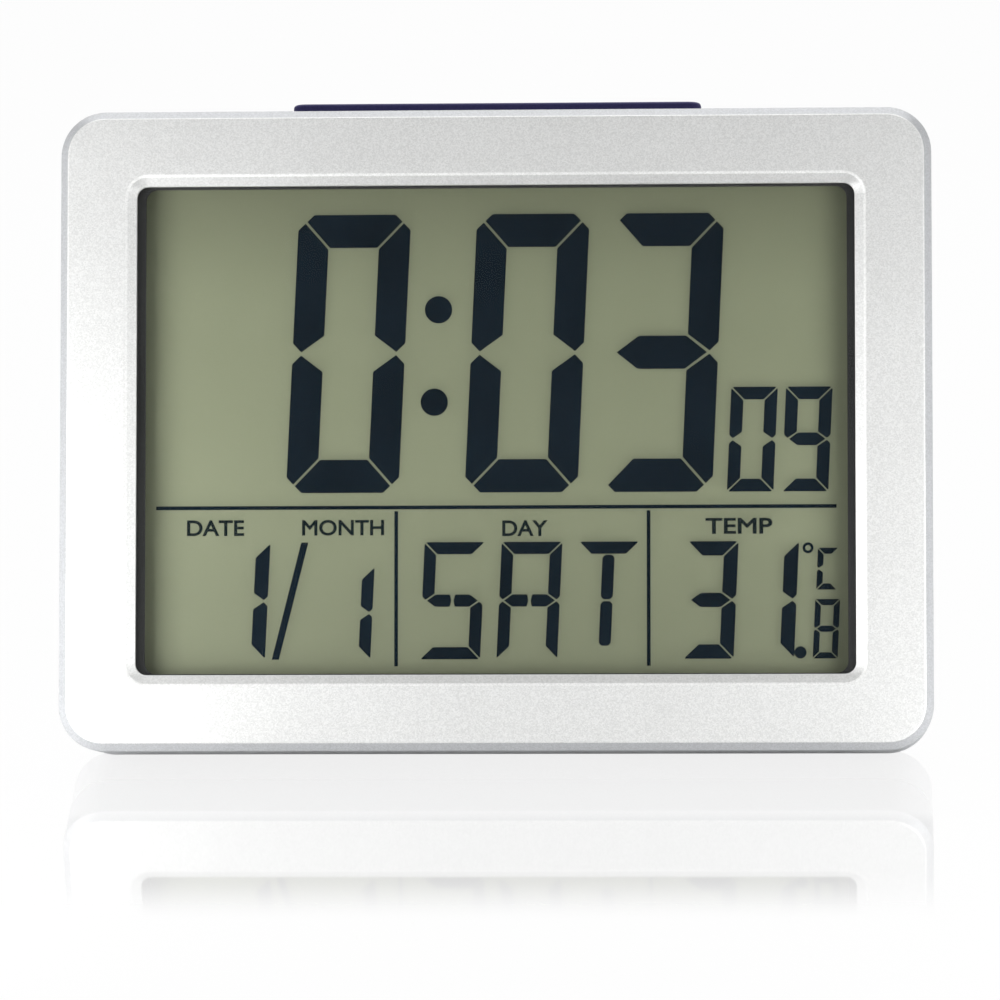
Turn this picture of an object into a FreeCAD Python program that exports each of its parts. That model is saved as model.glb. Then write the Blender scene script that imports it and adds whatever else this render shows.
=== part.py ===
import FreeCAD, Part
import math
import os
import re

import Sketcher
from FreeCAD import Placement, Rotation, Vector

# Desk clock with a large calendar display, leaning back on a fold-out stand.
# Every piece is drawn in the frame of the clock's face: X to the right, Y up the
# face from the case's bottom, and depth measured back from the front surface.
# The whole clock then leans back, with the lower rear edge and the foot of the
# stand on the table at height zero. The origin is the middle of the flat land on
# the lower rear edge.

# Driving dimensions in millimetres and degrees

SIZES = {
    # case
    "case_width": 165.0,
    "case_height": 121.4,
    "case_depth": 26.0,
    "front_depth": 13.0,
    "corner_radius": 8.5,
    "wall": 2.0,
    "front_wall": 2.2,
    "front_chamfer": 1.6,
    "chamfer_round": 0.25,
    "rear_round": 3.0,
    "lean_angle": 16.0,
    "land_cut": 0.2,
    "tongue_length": 1.5,
    "seam_groove": 0.35,
    "fit_gap": 0.1,
    "moving_gap": 0.3,
    # window and lens
    "frame_side": 14.5,
    "frame_head": 14.3,
    "window_radius": 2.2,
    "bevel_width": 2.1,
    "bevel_depth": 1.0,
    "bevel_round": 0.8,
    "lens_thickness": 1.5,
    "lens_overlap": 3.0,
    "lens_rim": 1.0,
    # display module
    "holder_lip": 0.8,
    "holder_wall": 1.8,
    "holder_corner": 4.0,
    "mask_side": 1.5,
    "mask_head": 0.3,
    "glass_side": 5.0,
    "glass_head": 3.4,
    "glass_thickness": 1.1,
    "crystal_gap": 0.1,
    "contact_ledge": 3.4,
    "reflector_thickness": 0.25,
    "guide_thickness": 2.0,
    "guide_drop": 7.2,
    "board_relief": 0.4,
    "board_thickness": 1.2,
    "zebra_margin": 5.5,
    "zebra_thickness": 2.0,
    "led_length": 3.8,
    "led_height": 2.2,
    "led_place": 30.0,
    "ear_place": 28.0,
    "ear_offset": 3.2,
    "ear_radius": 2.6,
    "ear_thickness": 1.6,
    # screws and bosses
    "screw_inset": 7.0,
    "boss_radius": 3.0,
    "boss_split": 12.0,
    "counterbore_depth": 7.0,
    "case_screw_radius": 1.3,
    "case_screw_length": 12.0,
    "case_head_radius": 2.5,
    "case_head_height": 1.8,
    "small_boss_radius": 2.4,
    "small_screw_radius": 0.9,
    "small_screw_length": 4.5,
    "small_head_radius": 1.9,
    "small_head_height": 1.2,
    # main board and what it carries
    "board_margin": 0.5,
    "board_height": 38.8,
    "board_foot": 3.2,
    "board_screw_inset": 21.0,
    "board_screw_up": 5.7,
    "blob_radius": 7.0,
    "blob_height": 1.4,
    "blob_place": 20.0,
    "blob_up": 25.0,
    "crystal_radius": 1.0,
    "crystal_length": 6.4,
    "crystal_place": 3.0,
    "thermistor_place": 60.0,
    "thermistor_up": 30.0,
    "thermistor_bead": 1.3,
    "thermistor_reach": 9.0,
    "vent_width": 1.2,
    "vent_height": 12.0,
    "vent_pitch": 2.6,
    # snooze bar
    "bar_width": 77.8,
    "bar_depth": 12.0,
    "bar_setback": 7.6,
    "bar_proud": 2.2,
    "bar_radius": 2.5,
    "bar_round": 0.7,
    "bar_shell": 1.4,
    "flange_margin": 1.2,
    "flange_thickness": 1.2,
    "seat_gap": 0.05,
    "snooze_travel": 1.0,
    "snooze_board_drop": 12.2,
    "snooze_board_width": 26.0,
    "snooze_board_depth": 8.0,
    "shelf_thickness": 2.0,
    "plunger_radius": 2.0,
    # switches
    "switch_side": 6.0,
    "switch_height": 3.5,
    "switch_button_radius": 1.7,
    "switch_button_height": 0.9,
    # keys on the back
    "key_radius": 3.6,
    "key_proud": 1.2,
    "key_chamfer": 0.5,
    "key_flange": 0.8,
    "key_travel": 0.5,
    "key_block": 55.0,
    "key_column": 7.5,
    "key_row": 70.0,
    "key_pitch": 12.0,
    "stem_radius": 1.5,
    "key_board_width": 30.0,
    "key_board_height": 52.0,
    "key_board_middle": 64.0,
    "key_board_depth": 16.4,
    "key_post": 6.0,
    # alarm slide switch
    "slider_up": 45.0,
    "slider_width": 3.0,
    "slider_height": 3.0,
    "slider_proud": 1.2,
    "slider_travel": 2.5,
    "slider_body_width": 9.0,
    "slider_body_height": 4.6,
    "slider_body_depth": 4.0,
    # buzzer behind its grille
    "buzzer_place": 55.0,
    "buzzer_up": 76.0,
    "buzzer_radius": 11.0,
    "buzzer_ceramic": 7.0,
    "buzzer_thickness": 0.35,
    "buzzer_chamber": 1.2,
    "buzzer_rib": 1.4,
    "grille_hole": 0.9,
    "grille_ring": 3.6,
    # keyhole for a wall screw
    "keyhole_up": 95.0,
    "keyhole_head": 4.0,
    "keyhole_shank": 1.9,
    "keyhole_rise": 7.0,
    "keyhole_pocket": 4.5,
    "pocket_wall": 1.2,
    # battery bay
    "cell_radius": 5.25,
    "cell_length": 44.5,
    "cell_pitch": 11.4,
    "cell_nub_radius": 1.9,
    "cell_nub_height": 1.0,
    "contact_space": 2.2,
    "contact_thickness": 0.4,
    "contact_width": 8.0,
    "battery_middle": 72.0,
    "bay_wall": 2.0,
    "bay_floor": 1.2,
    "door_thickness": 1.8,
    "door_ledge": 1.2,
    "door_tab_width": 6.0,
    "door_tab_place": 16.0,
    "door_tab_reach": 1.2,
    "door_tab_thickness": 1.0,
    "latch_width": 11.0,
    "latch_length": 7.0,
    "latch_slit": 0.6,
    "latch_scoop": 5.0,
    "latch_scoop_depth": 1.4,
    # leads
    "lead_radius": 0.6,
    "lead_sides": 6,
    "lead_drop": 14.0,
    "lead_rise": 3.4,
    "lead_spread": 3.5,
    "solder_inset": 6.0,
    "ribbon_width": 9.0,
    "ribbon_thickness": 0.6,
    # stand
    "stand_width": 58.0,
    "stand_thickness": 3.6,
    "stand_up": 54.0,
    "stand_swing": 24.0,
    "stand_inset": 2.0,
    "stand_pin_radius": 1.25,
    "stand_pin_length": 2.0,
    "stand_floor": 1.5,
    "stand_wall": 2.6,
    "stand_notch": 5.5,
    "stand_rib": 1.2,
    "stand_shell": 1.6,
    # digits on the display, in the units of a drawing that is stretched over the view
    "drawing_width": 133.0,
    "drawing_height": 92.2,
    "drawing_middle": 60.7,
    "digit_up": 49.0,
    "digit_left": -39.9,
    "digit_width": 21.4,
    "digit_height": 53.0,
    "digit_bar": 6.3,
    "digit_post": 5.9,
    "digit_pitch": 25.5,
    "colon_pitch": 33.95,
    "colon_radius": 2.6,
    "colon_left": -10.9,
    "colon_low": 66.2,
    "colon_high": 83.8,
    "second_left": 43.7,
    "second_width": 8.8,
    "second_height": 19.85,
    "second_bar": 2.4,
    "second_pitch": 10.35,
    "row_up": 17.4,
    "row_height": 22.2,
    "row_width": 9.6,
    "row_bar": 2.7,
    "date_left": -53.4,
    "month_height": 17.6,
    "month_width": 7.8,
    "month_bar": 2.3,
    "month_left": -31.6,
    "day_left": -14.5,
    "day_width": 11.5,
    "day_bar": 2.3,
    "day_pitch": 14.6,
    "degree_left": 35.3,
    "degree_pitch": 11.4,
    "tenth_left": 59.8,
    "tenth_width": 4.7,
    "tenth_height": 11.2,
    "tenth_bar": 1.15,
    "unit_left": 60.5,
    "unit_up": 30.4,
    "unit_width": 3.9,
    "unit_height": 7.9,
    "slant_angle": 2.6,
    "rule_width": 0.7,
    "rule_up": 46.2,
    "rule_left": -64.6,
    "rule_right": 64.4,
    "rule_foot": 16.1,
    "rule_first": -18.9,
    "rule_second": 28.9,
}

# Sizes that follow from the driving ones

FOLLOWING = {
    "window_width": "=case_width - 2 * frame_side",
    "window_height": "=case_height - 2 * frame_head",
    "window_middle": "=case_height / 2",
    "view_width": "=window_width - 2 * mask_side",
    "view_height": "=window_height - 2 * mask_head",
    "glass_width": "=view_width + 2 * glass_side",
    "glass_height": "=view_height + 2 * glass_head",
    "zebra_width": "=glass_width - 2 * zebra_margin",
    "board_width": "=glass_width - 2 * board_margin",
    "board_screw_place": "=board_width / 2 - board_screw_inset",
}

doc = FreeCAD.newDocument("DayClock")
sheet = doc.addObject("Spreadsheet::Sheet", "Sizes")
NAMES = list(SIZES) + list(FOLLOWING)
for row, alias in enumerate(NAMES, 1):
    sheet.set("A%d" % row, alias)
    sheet.setAlias("B%d" % row, alias)
for row, alias in enumerate(NAMES, 1):
    sheet.set("B%d" % row, str(SIZES[alias]) if alias in SIZES else FOLLOWING[alias])
doc.recompute()

WORDS = re.compile(r"\b(" + "|".join(sorted(NAMES, key=len, reverse=True)) + r")\b")


def number(expression):
    """Value of an expression written in the sheet's names."""
    return float(sheet.evalExpression(expression))


def bind(thing, place, expression):
    """Tie a property or constraint to an expression in the sheet's names."""
    thing.setExpression(place, WORDS.sub(r"Sizes.\1", expression))


# Places that follow from the driving dimensions

HALF_WIDTH = "(case_width / 2)"
LENS_BACK = "(front_wall + lens_thickness)"
GLASS_FRONT = "(front_wall + lens_thickness + holder_lip)"
CRYSTAL_FRONT = "(%s + glass_thickness)" % GLASS_FRONT
REAR_GLASS_FRONT = "(%s + crystal_gap)" % CRYSTAL_FRONT
REFLECTOR_FRONT = "(%s + glass_thickness)" % REAR_GLASS_FRONT
GUIDE_FRONT = "(%s + reflector_thickness)" % REFLECTOR_FRONT
BOARD_FRONT = "(%s + guide_thickness + board_relief)" % GUIDE_FRONT
BOARD_BACK = "(%s + board_thickness)" % BOARD_FRONT
GLASS_FOOT = "(window_middle - glass_height / 2)"
HOLDER_WIDTH = "(glass_width + 2 * (fit_gap + holder_wall))"
HOLDER_HEIGHT = "(glass_height + 2 * (fit_gap + holder_wall))"
EAR_X = "(%s / 2 + ear_offset)" % HOLDER_WIDTH
EAR_FRONT = "(%s - ear_thickness)" % GUIDE_FRONT
SCREW_X = "(case_width / 2 - screw_inset)"
REAR_INSIDE = "(case_depth - wall)"
BAR_MIDDLE = "(bar_setback + bar_depth / 2)"
SNOOZE_BOARD_TOP = "(case_height - snooze_board_drop)"
SNOOZE_BUTTON_TOP = "(%s + switch_height + switch_button_height)" % SNOOZE_BOARD_TOP
KEY_BOARD_BACK = "(key_board_depth + board_thickness)"
KEY_BUTTON_TOP = "(%s + switch_height + switch_button_height)" % KEY_BOARD_BACK
BAY_WIDTH = "(cell_length + 2 * contact_space)"
BAY_HEIGHT = "(cell_pitch + 2 * cell_radius + 2 * moving_gap)"
CELL_BACK = "(case_depth - door_thickness - moving_gap)"
BAY_DEPTH = "(%s - 2 * cell_radius - moving_gap)" % CELL_BACK
SEAT_WIDTH = "(%s + 2 * door_ledge)" % BAY_WIDTH
SEAT_HEIGHT = "(%s + 2 * door_ledge)" % BAY_HEIGHT
DOOR_FOOT = "(battery_middle - %s / 2 + moving_gap)" % SEAT_HEIGHT
STAND_AXIS = "(case_depth - stand_inset)"
STAND_RECESS = "(stand_inset + stand_thickness / 2 + moving_gap)"
TABLE_RISE = ("(rear_round + (case_depth - rear_round) * sin(lean_angle)"
              " - rear_round * cos(lean_angle) - land_cut)")
LAND_BACK = "((case_depth - rear_round) * cos(lean_angle) + rear_round * sin(lean_angle))"
PIVOT_BACK = "(%s * cos(lean_angle) + stand_up * sin(lean_angle) - %s)" % (STAND_AXIS, LAND_BACK)
PIVOT_RISE = "(stand_up * cos(lean_angle) - %s * sin(lean_angle) + %s)" % (
    STAND_AXIS, TABLE_RISE)
STAND_TILT = "(stand_swing - lean_angle)"
STAND_HEEL = ("((stand_thickness / 2 * (1 - cos(stand_swing)) + moving_gap - seat_gap)"
              " / sin(stand_swing))")


def foot_reach(outward):
    """Distance from the stand's axis to the table, at a height off its middle plane."""
    return "((%s + (%s) * sin(%s)) / cos(%s))" % (PIVOT_RISE, outward, STAND_TILT, STAND_TILT)


STAND_FOOT = "(stand_up - %s)" % foot_reach("stand_thickness / 2")
STAND_HEAD = "(stand_up + sqrt(%s ^ 2 + (stand_thickness / 2) ^ 2))" % STAND_HEEL


# Sketch and feature helpers

PLANES = {"face": "XY_Plane", "top": "XZ_Plane", "side": "YZ_Plane"}


def new_body(label):
    """A piece drawn in the frame of the face and leaned back with the case."""
    body = doc.addObject("PartDesign::Body", label)
    body.Label = label
    body.Placement = Placement(Vector(0, 0, 0), Rotation(Vector(1, 0, 0), 90))
    bind(body, ".Placement.Rotation.Angle", "90 - lean_angle")
    bind(body, ".Placement.Base.y", "-" + LAND_BACK)
    bind(body, ".Placement.Base.z", TABLE_RISE)
    return body


def new_sketch(body, name, start, plane):
    """A sketch on one of the body's own planes, moved along that plane's growth."""
    sketch = body.newObject("Sketcher::SketchObject", name)
    origin = [item for item in body.Origin.OriginFeatures if item.Role == PLANES[plane]]
    sketch.AttachmentSupport = [(origin[0], "")]
    sketch.MapMode = "FlatFace"
    sign = 1.0 if plane == "side" else -1.0
    sketch.AttachmentOffset = Placement(Vector(0, 0, sign * number(start)), Rotation())
    bind(sketch, ".AttachmentOffset.Base.z", start if plane == "side" else "-(%s)" % start)
    return sketch


def fix_point(sketch, geometry, end, across, upward):
    """Hold one point of a sketch at a place given by two expressions."""
    for kind, expression in (("DistanceX", across), ("DistanceY", upward)):
        index = sketch.addConstraint(
            Sketcher.Constraint(kind, -1, 1, geometry, end, number(expression)))
        bind(sketch, "Constraints[%d]" % index, expression)


def fix_radius(sketch, geometry, radius):
    index = sketch.addConstraint(Sketcher.Constraint("Radius", geometry, number(radius)))
    bind(sketch, "Constraints[%d]" % index, radius)


def rounded(across, upward, width, height, radius):
    """Rectangle with four round corners about a centre."""
    def draw(sketch):
        q = number(radius)
        corners = []
        for turn, (side, rise) in enumerate(((1, 1), (-1, 1), (-1, -1), (1, -1))):
            x_text = "%s %s (%s / 2 - %s)" % (across, "+" if side > 0 else "-", width, radius)
            y_text = "%s %s (%s / 2 - %s)" % (upward, "+" if rise > 0 else "-", height, radius)
            centre = Vector(number(x_text), number(y_text), 0)
            circle = Part.Circle(centre, Vector(0, 0, 1), q)
            start = math.radians(90 * turn)
            arc = sketch.addGeometry(Part.ArcOfCircle(circle, start, start + math.pi / 2), False)
            corners.append((arc, centre, start + math.pi / 2, x_text, y_text))
        for index, (arc, centre, end, _, _) in enumerate(corners):
            after, next_centre = corners[(index + 1) % 4][:2]
            reach = Vector(q * math.cos(end), q * math.sin(end), 0)
            line = sketch.addGeometry(Part.LineSegment(centre + reach, next_centre + reach), False)
            sketch.addConstraint(Sketcher.Constraint("Tangent", arc, 2, line, 1))
            sketch.addConstraint(Sketcher.Constraint("Tangent", line, 2, after, 1))
        for arc, _, _, x_text, y_text in corners:
            fix_point(sketch, arc, 3, x_text, y_text)
            fix_radius(sketch, arc, radius)
    return draw


def polygon(*points):
    """Closed outline through corners given as pairs of expressions."""
    def draw(sketch):
        places = [Vector(number(x), number(y), 0) for x, y in points]
        lines = []
        for index, place in enumerate(places):
            after = places[(index + 1) % len(places)]
            lines.append(sketch.addGeometry(Part.LineSegment(place, after), False))
        for index, line in enumerate(lines):
            after = lines[(index + 1) % len(lines)]
            sketch.addConstraint(Sketcher.Constraint("Coincident", line, 2, after, 1))
        for line, (x_text, y_text) in zip(lines, points):
            fix_point(sketch, line, 1, x_text, y_text)
    return draw


def rectangle(across, upward, width, height):
    """Rectangle about a centre."""
    left, right = "%s - %s / 2" % (across, width), "%s + %s / 2" % (across, width)
    low, high = "%s - %s / 2" % (upward, height), "%s + %s / 2" % (upward, height)
    return polygon((left, low), (right, low), (right, high), (left, high))


def circle(across, upward, radius):
    def draw(sketch):
        shape = Part.Circle(Vector(number(across), number(upward), 0), Vector(0, 0, 1),
                            number(radius))
        index = sketch.addGeometry(shape, False)
        fix_point(sketch, index, 3, across, upward)
        fix_radius(sketch, index, radius)
    return draw


def prism(body, name, loops, start, length, plane="face", cut=False):
    """Pad or pocket that begins at a depth, height or side and grows away from it."""
    sketch = new_sketch(body, name + "Sketch", start, plane)
    for loop in loops:
        loop(sketch)
    kind = "PartDesign::Pocket" if cut else "PartDesign::Pad"
    feature = body.newObject(kind, name)
    feature.Profile = sketch
    feature.Length = number(length)
    bind(feature, "Length", length)
    feature.Reversed = (plane == "side") == cut
    return feature


def taper(body, name, front, back, start, length, cut=True):
    """Straight-sided loft between two outlines at two depths."""
    first = new_sketch(body, name + "Front", start, "face")
    front(first)
    second = new_sketch(body, name + "Back", "%s + %s" % (start, length), "face")
    back(second)
    kind = "PartDesign::SubtractiveLoft" if cut else "PartDesign::AdditiveLoft"
    loft = body.newObject(kind, name)
    loft.Profile = first
    loft.Sections = [second]
    loft.Ruled = True
    return loft


def round_edges(body, name, radius, chosen, chamfer=False):
    """Fillet or chamfer on the edges of the body's last feature that a test picks."""
    doc.recompute()
    base = body.Tip
    names = ["Edge%d" % (index + 1) for index, edge in enumerate(base.Shape.Edges)
             if chosen(edge.BoundBox)]
    if not names:
        raise RuntimeError("no edge for " + name)
    feature = body.newObject("PartDesign::Chamfer" if chamfer else "PartDesign::Fillet", name)
    feature.Base = (base, names)
    setting = "Size" if chamfer else "Radius"
    setattr(feature, setting, number(radius))
    bind(feature, setting, radius)
    return feature


def level(low, high, value):
    return abs(low - value) < 1e-4 and abs(high - value) < 1e-4


def at_depth(depth):
    """Test for edges that lie at one depth."""
    return lambda box: level(box.ZMin, box.ZMax, -number(depth))


def at_height(height):
    """Test for edges that lie at one height."""
    return lambda box: level(box.YMin, box.YMax, number(height))


SIDES = ("-", "")


# Case

def outline(inset="0"):
    """The case's outline, drawn in from its outer surface by an inset."""
    return rounded("0", "case_height / 2", "(case_width - 2 * %s)" % inset,
                   "(case_height - 2 * %s)" % inset, "(corner_radius - %s)" % inset)


def window_outline(grow="0"):
    return rounded("0", "window_middle", "(window_width + 2 * %s)" % grow,
                   "(window_height + 2 * %s)" % grow, "(window_radius + %s)" % grow)


def round_window(box):
    """Test for the bevel's edges on the face, which lie inside the case's own."""
    reach = number("window_width / 2 + bevel_width") + 0.01
    return at_depth("0")(box) and max(-box.XMin, box.XMax) < reach


def bar_outline(grow="0"):
    """The snooze bar's plan, seen from above."""
    return rounded("0", "-" + BAR_MIDDLE, "(bar_width + 2 * %s)" % grow,
                   "(bar_depth + 2 * %s)" % grow, "(bar_radius + %s)" % grow)


def corner_circles(radius):
    """One circle at each of the four case screws."""
    return [circle(side + SCREW_X, up, radius) for side in SIDES
            for up in ("screw_inset", "case_height - screw_inset")]


def ear_circles(radius):
    return [circle(side + EAR_X, "window_middle %s ear_place" % sign, radius)
            for side in SIDES for sign in "-+"]


def board_circles(radius):
    return [circle(place, "board_screw_up", radius)
            for place in ("-board_screw_place", "0", "board_screw_place")]


def make_front_case():
    body = new_body("front_case")
    prism(body, "FrontShell", [outline()], "0", "front_depth")
    round_edges(body, "FrontChamfer", "front_chamfer", at_depth("0"), chamfer=True)
    for name, depth in (("FrontInnerRound", "0"), ("FrontOuterRound", "front_chamfer")):
        round_edges(body, name, "chamfer_round", at_depth(depth))
    prism(body, "FrontCavity", [outline("wall")], "front_wall", "front_depth - front_wall",
          cut=True)
    prism(body, "Window", [window_outline()], "0", "front_wall", cut=True)
    taper(body, "WindowBevel", window_outline("bevel_width"), window_outline(), "0",
          "bevel_depth")
    round_edges(body, "BevelRound", "bevel_round", round_window)
    prism(body, "TongueSeat", [outline("wall / 2")], "front_depth - tongue_length",
          "tongue_length", cut=True)
    prism(body, "LensRim", [lens_outline("(fit_gap + lens_rim)"), lens_outline("fit_gap")],
          "front_wall", "lens_thickness")
    prism(body, "CaseBosses", corner_circles("boss_radius"), "front_wall",
          "boss_split - front_wall")
    prism(body, "EarBosses", ear_circles("small_boss_radius"), "front_wall",
          EAR_FRONT + " - front_wall")
    prism(body, "BoardBosses", board_circles("small_boss_radius"), "front_wall",
          BOARD_FRONT + " - front_wall")
    prism(body, "CasePilots", corner_circles("(case_screw_radius + seat_gap)"),
          "boss_split - case_screw_length / 2", "case_screw_length / 2", cut=True)
    prism(body, "EarPilots", ear_circles("(small_screw_radius + seat_gap)"),
          "front_wall + seat_gap", EAR_FRONT + " - front_wall", cut=True)
    prism(body, "BoardPilots", board_circles("(small_screw_radius + seat_gap)"),
          BOARD_FRONT + " - small_screw_length", "small_screw_length", cut=True)
    prism(body, "BarSlot", [bar_outline("moving_gap")], "case_height - 2 * wall", "3 * wall",
          plane="top", cut=True)
    return body


def make_rear_case():
    body = new_body("rear_case")
    prism(body, "RearShell", [outline()], "front_depth", "case_depth - front_depth")
    round_edges(body, "RearRound", "rear_round", at_depth("case_depth"))
    prism(body, "RearCavity", [outline("wall")], "front_depth", REAR_INSIDE + " - front_depth",
          cut=True)
    prism(body, "Tongue", [outline("(wall / 2 + fit_gap)"), outline("wall")],
          "front_depth - tongue_length + fit_gap", "tongue_length - fit_gap")
    add_rear_supports(body)
    cut_rear_openings(body)
    cut_table_land(body)
    return body


def add_rear_supports(body):
    """Posts, ribs and walls that stand on the inside of the rear wall."""
    prism(body, "CasePosts", corner_circles("boss_radius"), "boss_split + fit_gap",
          REAR_INSIDE + " - boss_split")
    prism(body, "BayBlock", [rectangle("0", "battery_middle", "(%s + 2 * bay_wall)" % BAY_WIDTH,
                                       "(%s + 2 * bay_wall)" % BAY_HEIGHT)],
          BAY_DEPTH + " - bay_floor", REAR_INSIDE + " - %s + bay_floor + wall / 2" % BAY_DEPTH)
    prism(body, "StandBlock",
          [rectangle("0", "(%s + stand_wall) / 2" % STAND_HEAD,
                     "(stand_width + 2 * stand_wall)", "(%s + stand_wall - wall)" % STAND_HEAD)],
          "case_depth - %s - stand_floor" % STAND_RECESS, STAND_RECESS + " + stand_floor - wall / 2")
    prism(body, "KeyholeBlock",
          [rounded("0", "keyhole_up + (keyhole_rise - keyhole_shank) / 2",
                   "(2 * (keyhole_head + 1 + pocket_wall))",
                   "(2 * (keyhole_head + 1 + pocket_wall) + keyhole_rise - keyhole_shank)",
                   "(keyhole_head + pocket_wall)")],
          REAR_INSIDE + " - keyhole_pocket - pocket_wall",
          "keyhole_pocket + pocket_wall + wall / 2")
    prism(body, "Shelf", [rectangle("0", SNOOZE_BOARD_TOP + " - board_thickness"
                                    " - shelf_thickness / 2", "(snooze_board_width + 4)",
                                    "shelf_thickness")],
          BAR_MIDDLE + " - snooze_board_depth / 2",
          REAR_INSIDE + " - %s + snooze_board_depth / 2 + wall / 2" % BAR_MIDDLE)
    prism(body, "KeyPosts", [circle("-key_block", "key_row %s key_post" % sign,
                                    "small_boss_radius") for sign in "-+"],
          KEY_BOARD_BACK, REAR_INSIDE + " - %s + wall / 2" % KEY_BOARD_BACK)
    prism(body, "BuzzerRib", [circle("buzzer_place", "buzzer_up", "buzzer_radius"),
                              circle("buzzer_place", "buzzer_up",
                                     "(buzzer_radius - buzzer_rib)")],
          REAR_INSIDE + " - buzzer_chamber", "buzzer_chamber + wall / 2")


def cut_rear_openings(body):
    """Everything that is open towards the back, and the holes for screws."""
    prism(body, "Bay", [rectangle("0", "battery_middle", BAY_WIDTH, BAY_HEIGHT)], BAY_DEPTH,
          "case_depth - " + BAY_DEPTH, cut=True)
    prism(body, "DoorSeat", [rectangle("0", "battery_middle", SEAT_WIDTH, SEAT_HEIGHT)],
          "case_depth - door_thickness", "door_thickness", cut=True)
    prism(body, "DoorTabSlots",
          [rectangle(side + "door_tab_place",
                     DOOR_FOOT + " + (door_ledge - door_tab_reach) / 2 - moving_gap",
                     "(door_tab_width + 2 * moving_gap)",
                     "(door_ledge + door_tab_reach + 2 * moving_gap)") for side in SIDES],
          "case_depth - door_thickness - 4 * door_tab_thickness", "4 * door_tab_thickness",
          cut=True)
    prism(body, "LatchScoop",
          [circle("0", "battery_middle + %s / 2" % SEAT_HEIGHT, "latch_scoop")],
          "case_depth - latch_scoop_depth", "latch_scoop_depth", cut=True)
    prism(body, "StandRecess",
          [rectangle("0", "(%s + %s) / 2" % (STAND_FOOT, STAND_HEAD),
                     "(stand_width + 2 * moving_gap)",
                     "(%s - %s + 2 * moving_gap)" % (STAND_HEAD, STAND_FOOT))],
          "case_depth - " + STAND_RECESS, STAND_RECESS, cut=True)
    prism(body, "StandPinHoles",
          [circle("stand_up", "-" + STAND_AXIS, "(stand_pin_radius + seat_gap)")],
          "-(stand_width / 2 + moving_gap + stand_pin_length + fit_gap)",
          "stand_width + 2 * (moving_gap + stand_pin_length + fit_gap)", plane="side", cut=True)
    prism(body, "KeyholePocket",
          [rounded("0", "keyhole_up + (keyhole_rise - keyhole_shank) / 2",
                   "(2 * (keyhole_head + 1))",
                   "(2 * (keyhole_head + 1) + keyhole_rise - keyhole_shank)", "keyhole_head")],
          REAR_INSIDE + " - keyhole_pocket", "keyhole_pocket", cut=True)
    prism(body, "KeyholeHead", [circle("0", "keyhole_up", "keyhole_head")],
          REAR_INSIDE + " - wall / 2", "2 * wall", cut=True)
    prism(body, "KeyholeSlot",
          [rounded("0", "keyhole_up + keyhole_rise / 2", "(2 * keyhole_shank)",
                   "(keyhole_rise + 2 * keyhole_shank)", "(keyhole_shank * 0.999)")],
          REAR_INSIDE + " - wall / 2", "2 * wall", cut=True)
    prism(body, "KeyHoles", [circle(x, y, "(key_radius + moving_gap)")
                             for x, y in KEY_PLACES.values()],
          REAR_INSIDE, "wall", cut=True)
    prism(body, "SliderSlot",
          [rectangle("-key_block", "slider_up",
                     "(slider_width + slider_travel + 2 * moving_gap)",
                     "(slider_height + 2 * moving_gap)")], REAR_INSIDE, "wall", cut=True)
    prism(body, "Grille", grille_circles(), REAR_INSIDE, "wall", cut=True)
    prism(body, "Vents",
          [rounded("thermistor_place + %d * vent_pitch" % step, "thermistor_up", "vent_width",
                   "vent_height", "(vent_width * 0.499)") for step in range(-2, 3)],
          REAR_INSIDE, "wall", cut=True)
    prism(body, "Counterbores", corner_circles("(case_head_radius + moving_gap)"),
          "case_depth - counterbore_depth", "counterbore_depth", cut=True)
    prism(body, "CaseClearance", corner_circles("(case_screw_radius + fit_gap)"),
          "boss_split", "case_depth - boss_split", cut=True)
    prism(body, "KeyPostPilots", [circle("-key_block", "key_row %s key_post" % sign,
                                         "(small_screw_radius + seat_gap)") for sign in "-+"],
          KEY_BOARD_BACK, "small_screw_length", cut=True)
    prism(body, "ShelfPilots",
          [circle(side + "(snooze_board_width / 2 - 3)", "-" + BAR_MIDDLE,
                  "(small_screw_radius + seat_gap)") for side in SIDES],
          SNOOZE_BOARD_TOP + " - board_thickness - shelf_thickness", "shelf_thickness",
          plane="top", cut=True)
    prism(body, "BarSlot", [bar_outline("moving_gap")], "case_height - 2 * wall", "3 * wall",
          plane="top", cut=True)
    prism(body, "SeamGroove", [outline("0"), outline("seam_groove")], "front_depth",
          "seam_groove", cut=True)


def grille_circles():
    """A hole in the middle with rings of six and twelve around it."""
    holes = [circle("buzzer_place", "buzzer_up", "grille_hole")]
    for ring, count in ((1, 6), (2, 12)):
        for step in range(count):
            angle = 360.0 * step / count
            holes.append(circle("buzzer_place + %d * grille_ring * cos(%g)" % (ring, angle),
                                "buzzer_up + %d * grille_ring * sin(%g)" % (ring, angle),
                                "grille_hole"))
    return holes


def cut_table_land(body):
    """Flat land where the table plane trims the lower rear edge."""
    def on_table(depth):
        return "((%s * sin(lean_angle) - %s) / cos(lean_angle))" % (depth, TABLE_RISE)
    near, far = "(case_depth - 3 * rear_round)", "(case_depth + rear_round)"
    prism(body, "TableLand",
          [polygon((on_table(near), "-" + near), (on_table(far), "-" + far),
                   ("-2 * rear_round", "-" + far), ("-2 * rear_round", "-" + near))],
          "-" + HALF_WIDTH, "case_width", plane="side", cut=True)


# Display

def lens_outline(grow="0"):
    return rounded("0", "window_middle", "(window_width + 2 * (lens_overlap + %s))" % grow,
                   "(window_height + 2 * (lens_overlap + %s))" % grow,
                   "(window_radius + %s)" % grow)


def make_lens():
    body = new_body("lens")
    prism(body, "LensPlate", [lens_outline()], "front_wall", "lens_thickness")
    return body


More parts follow.
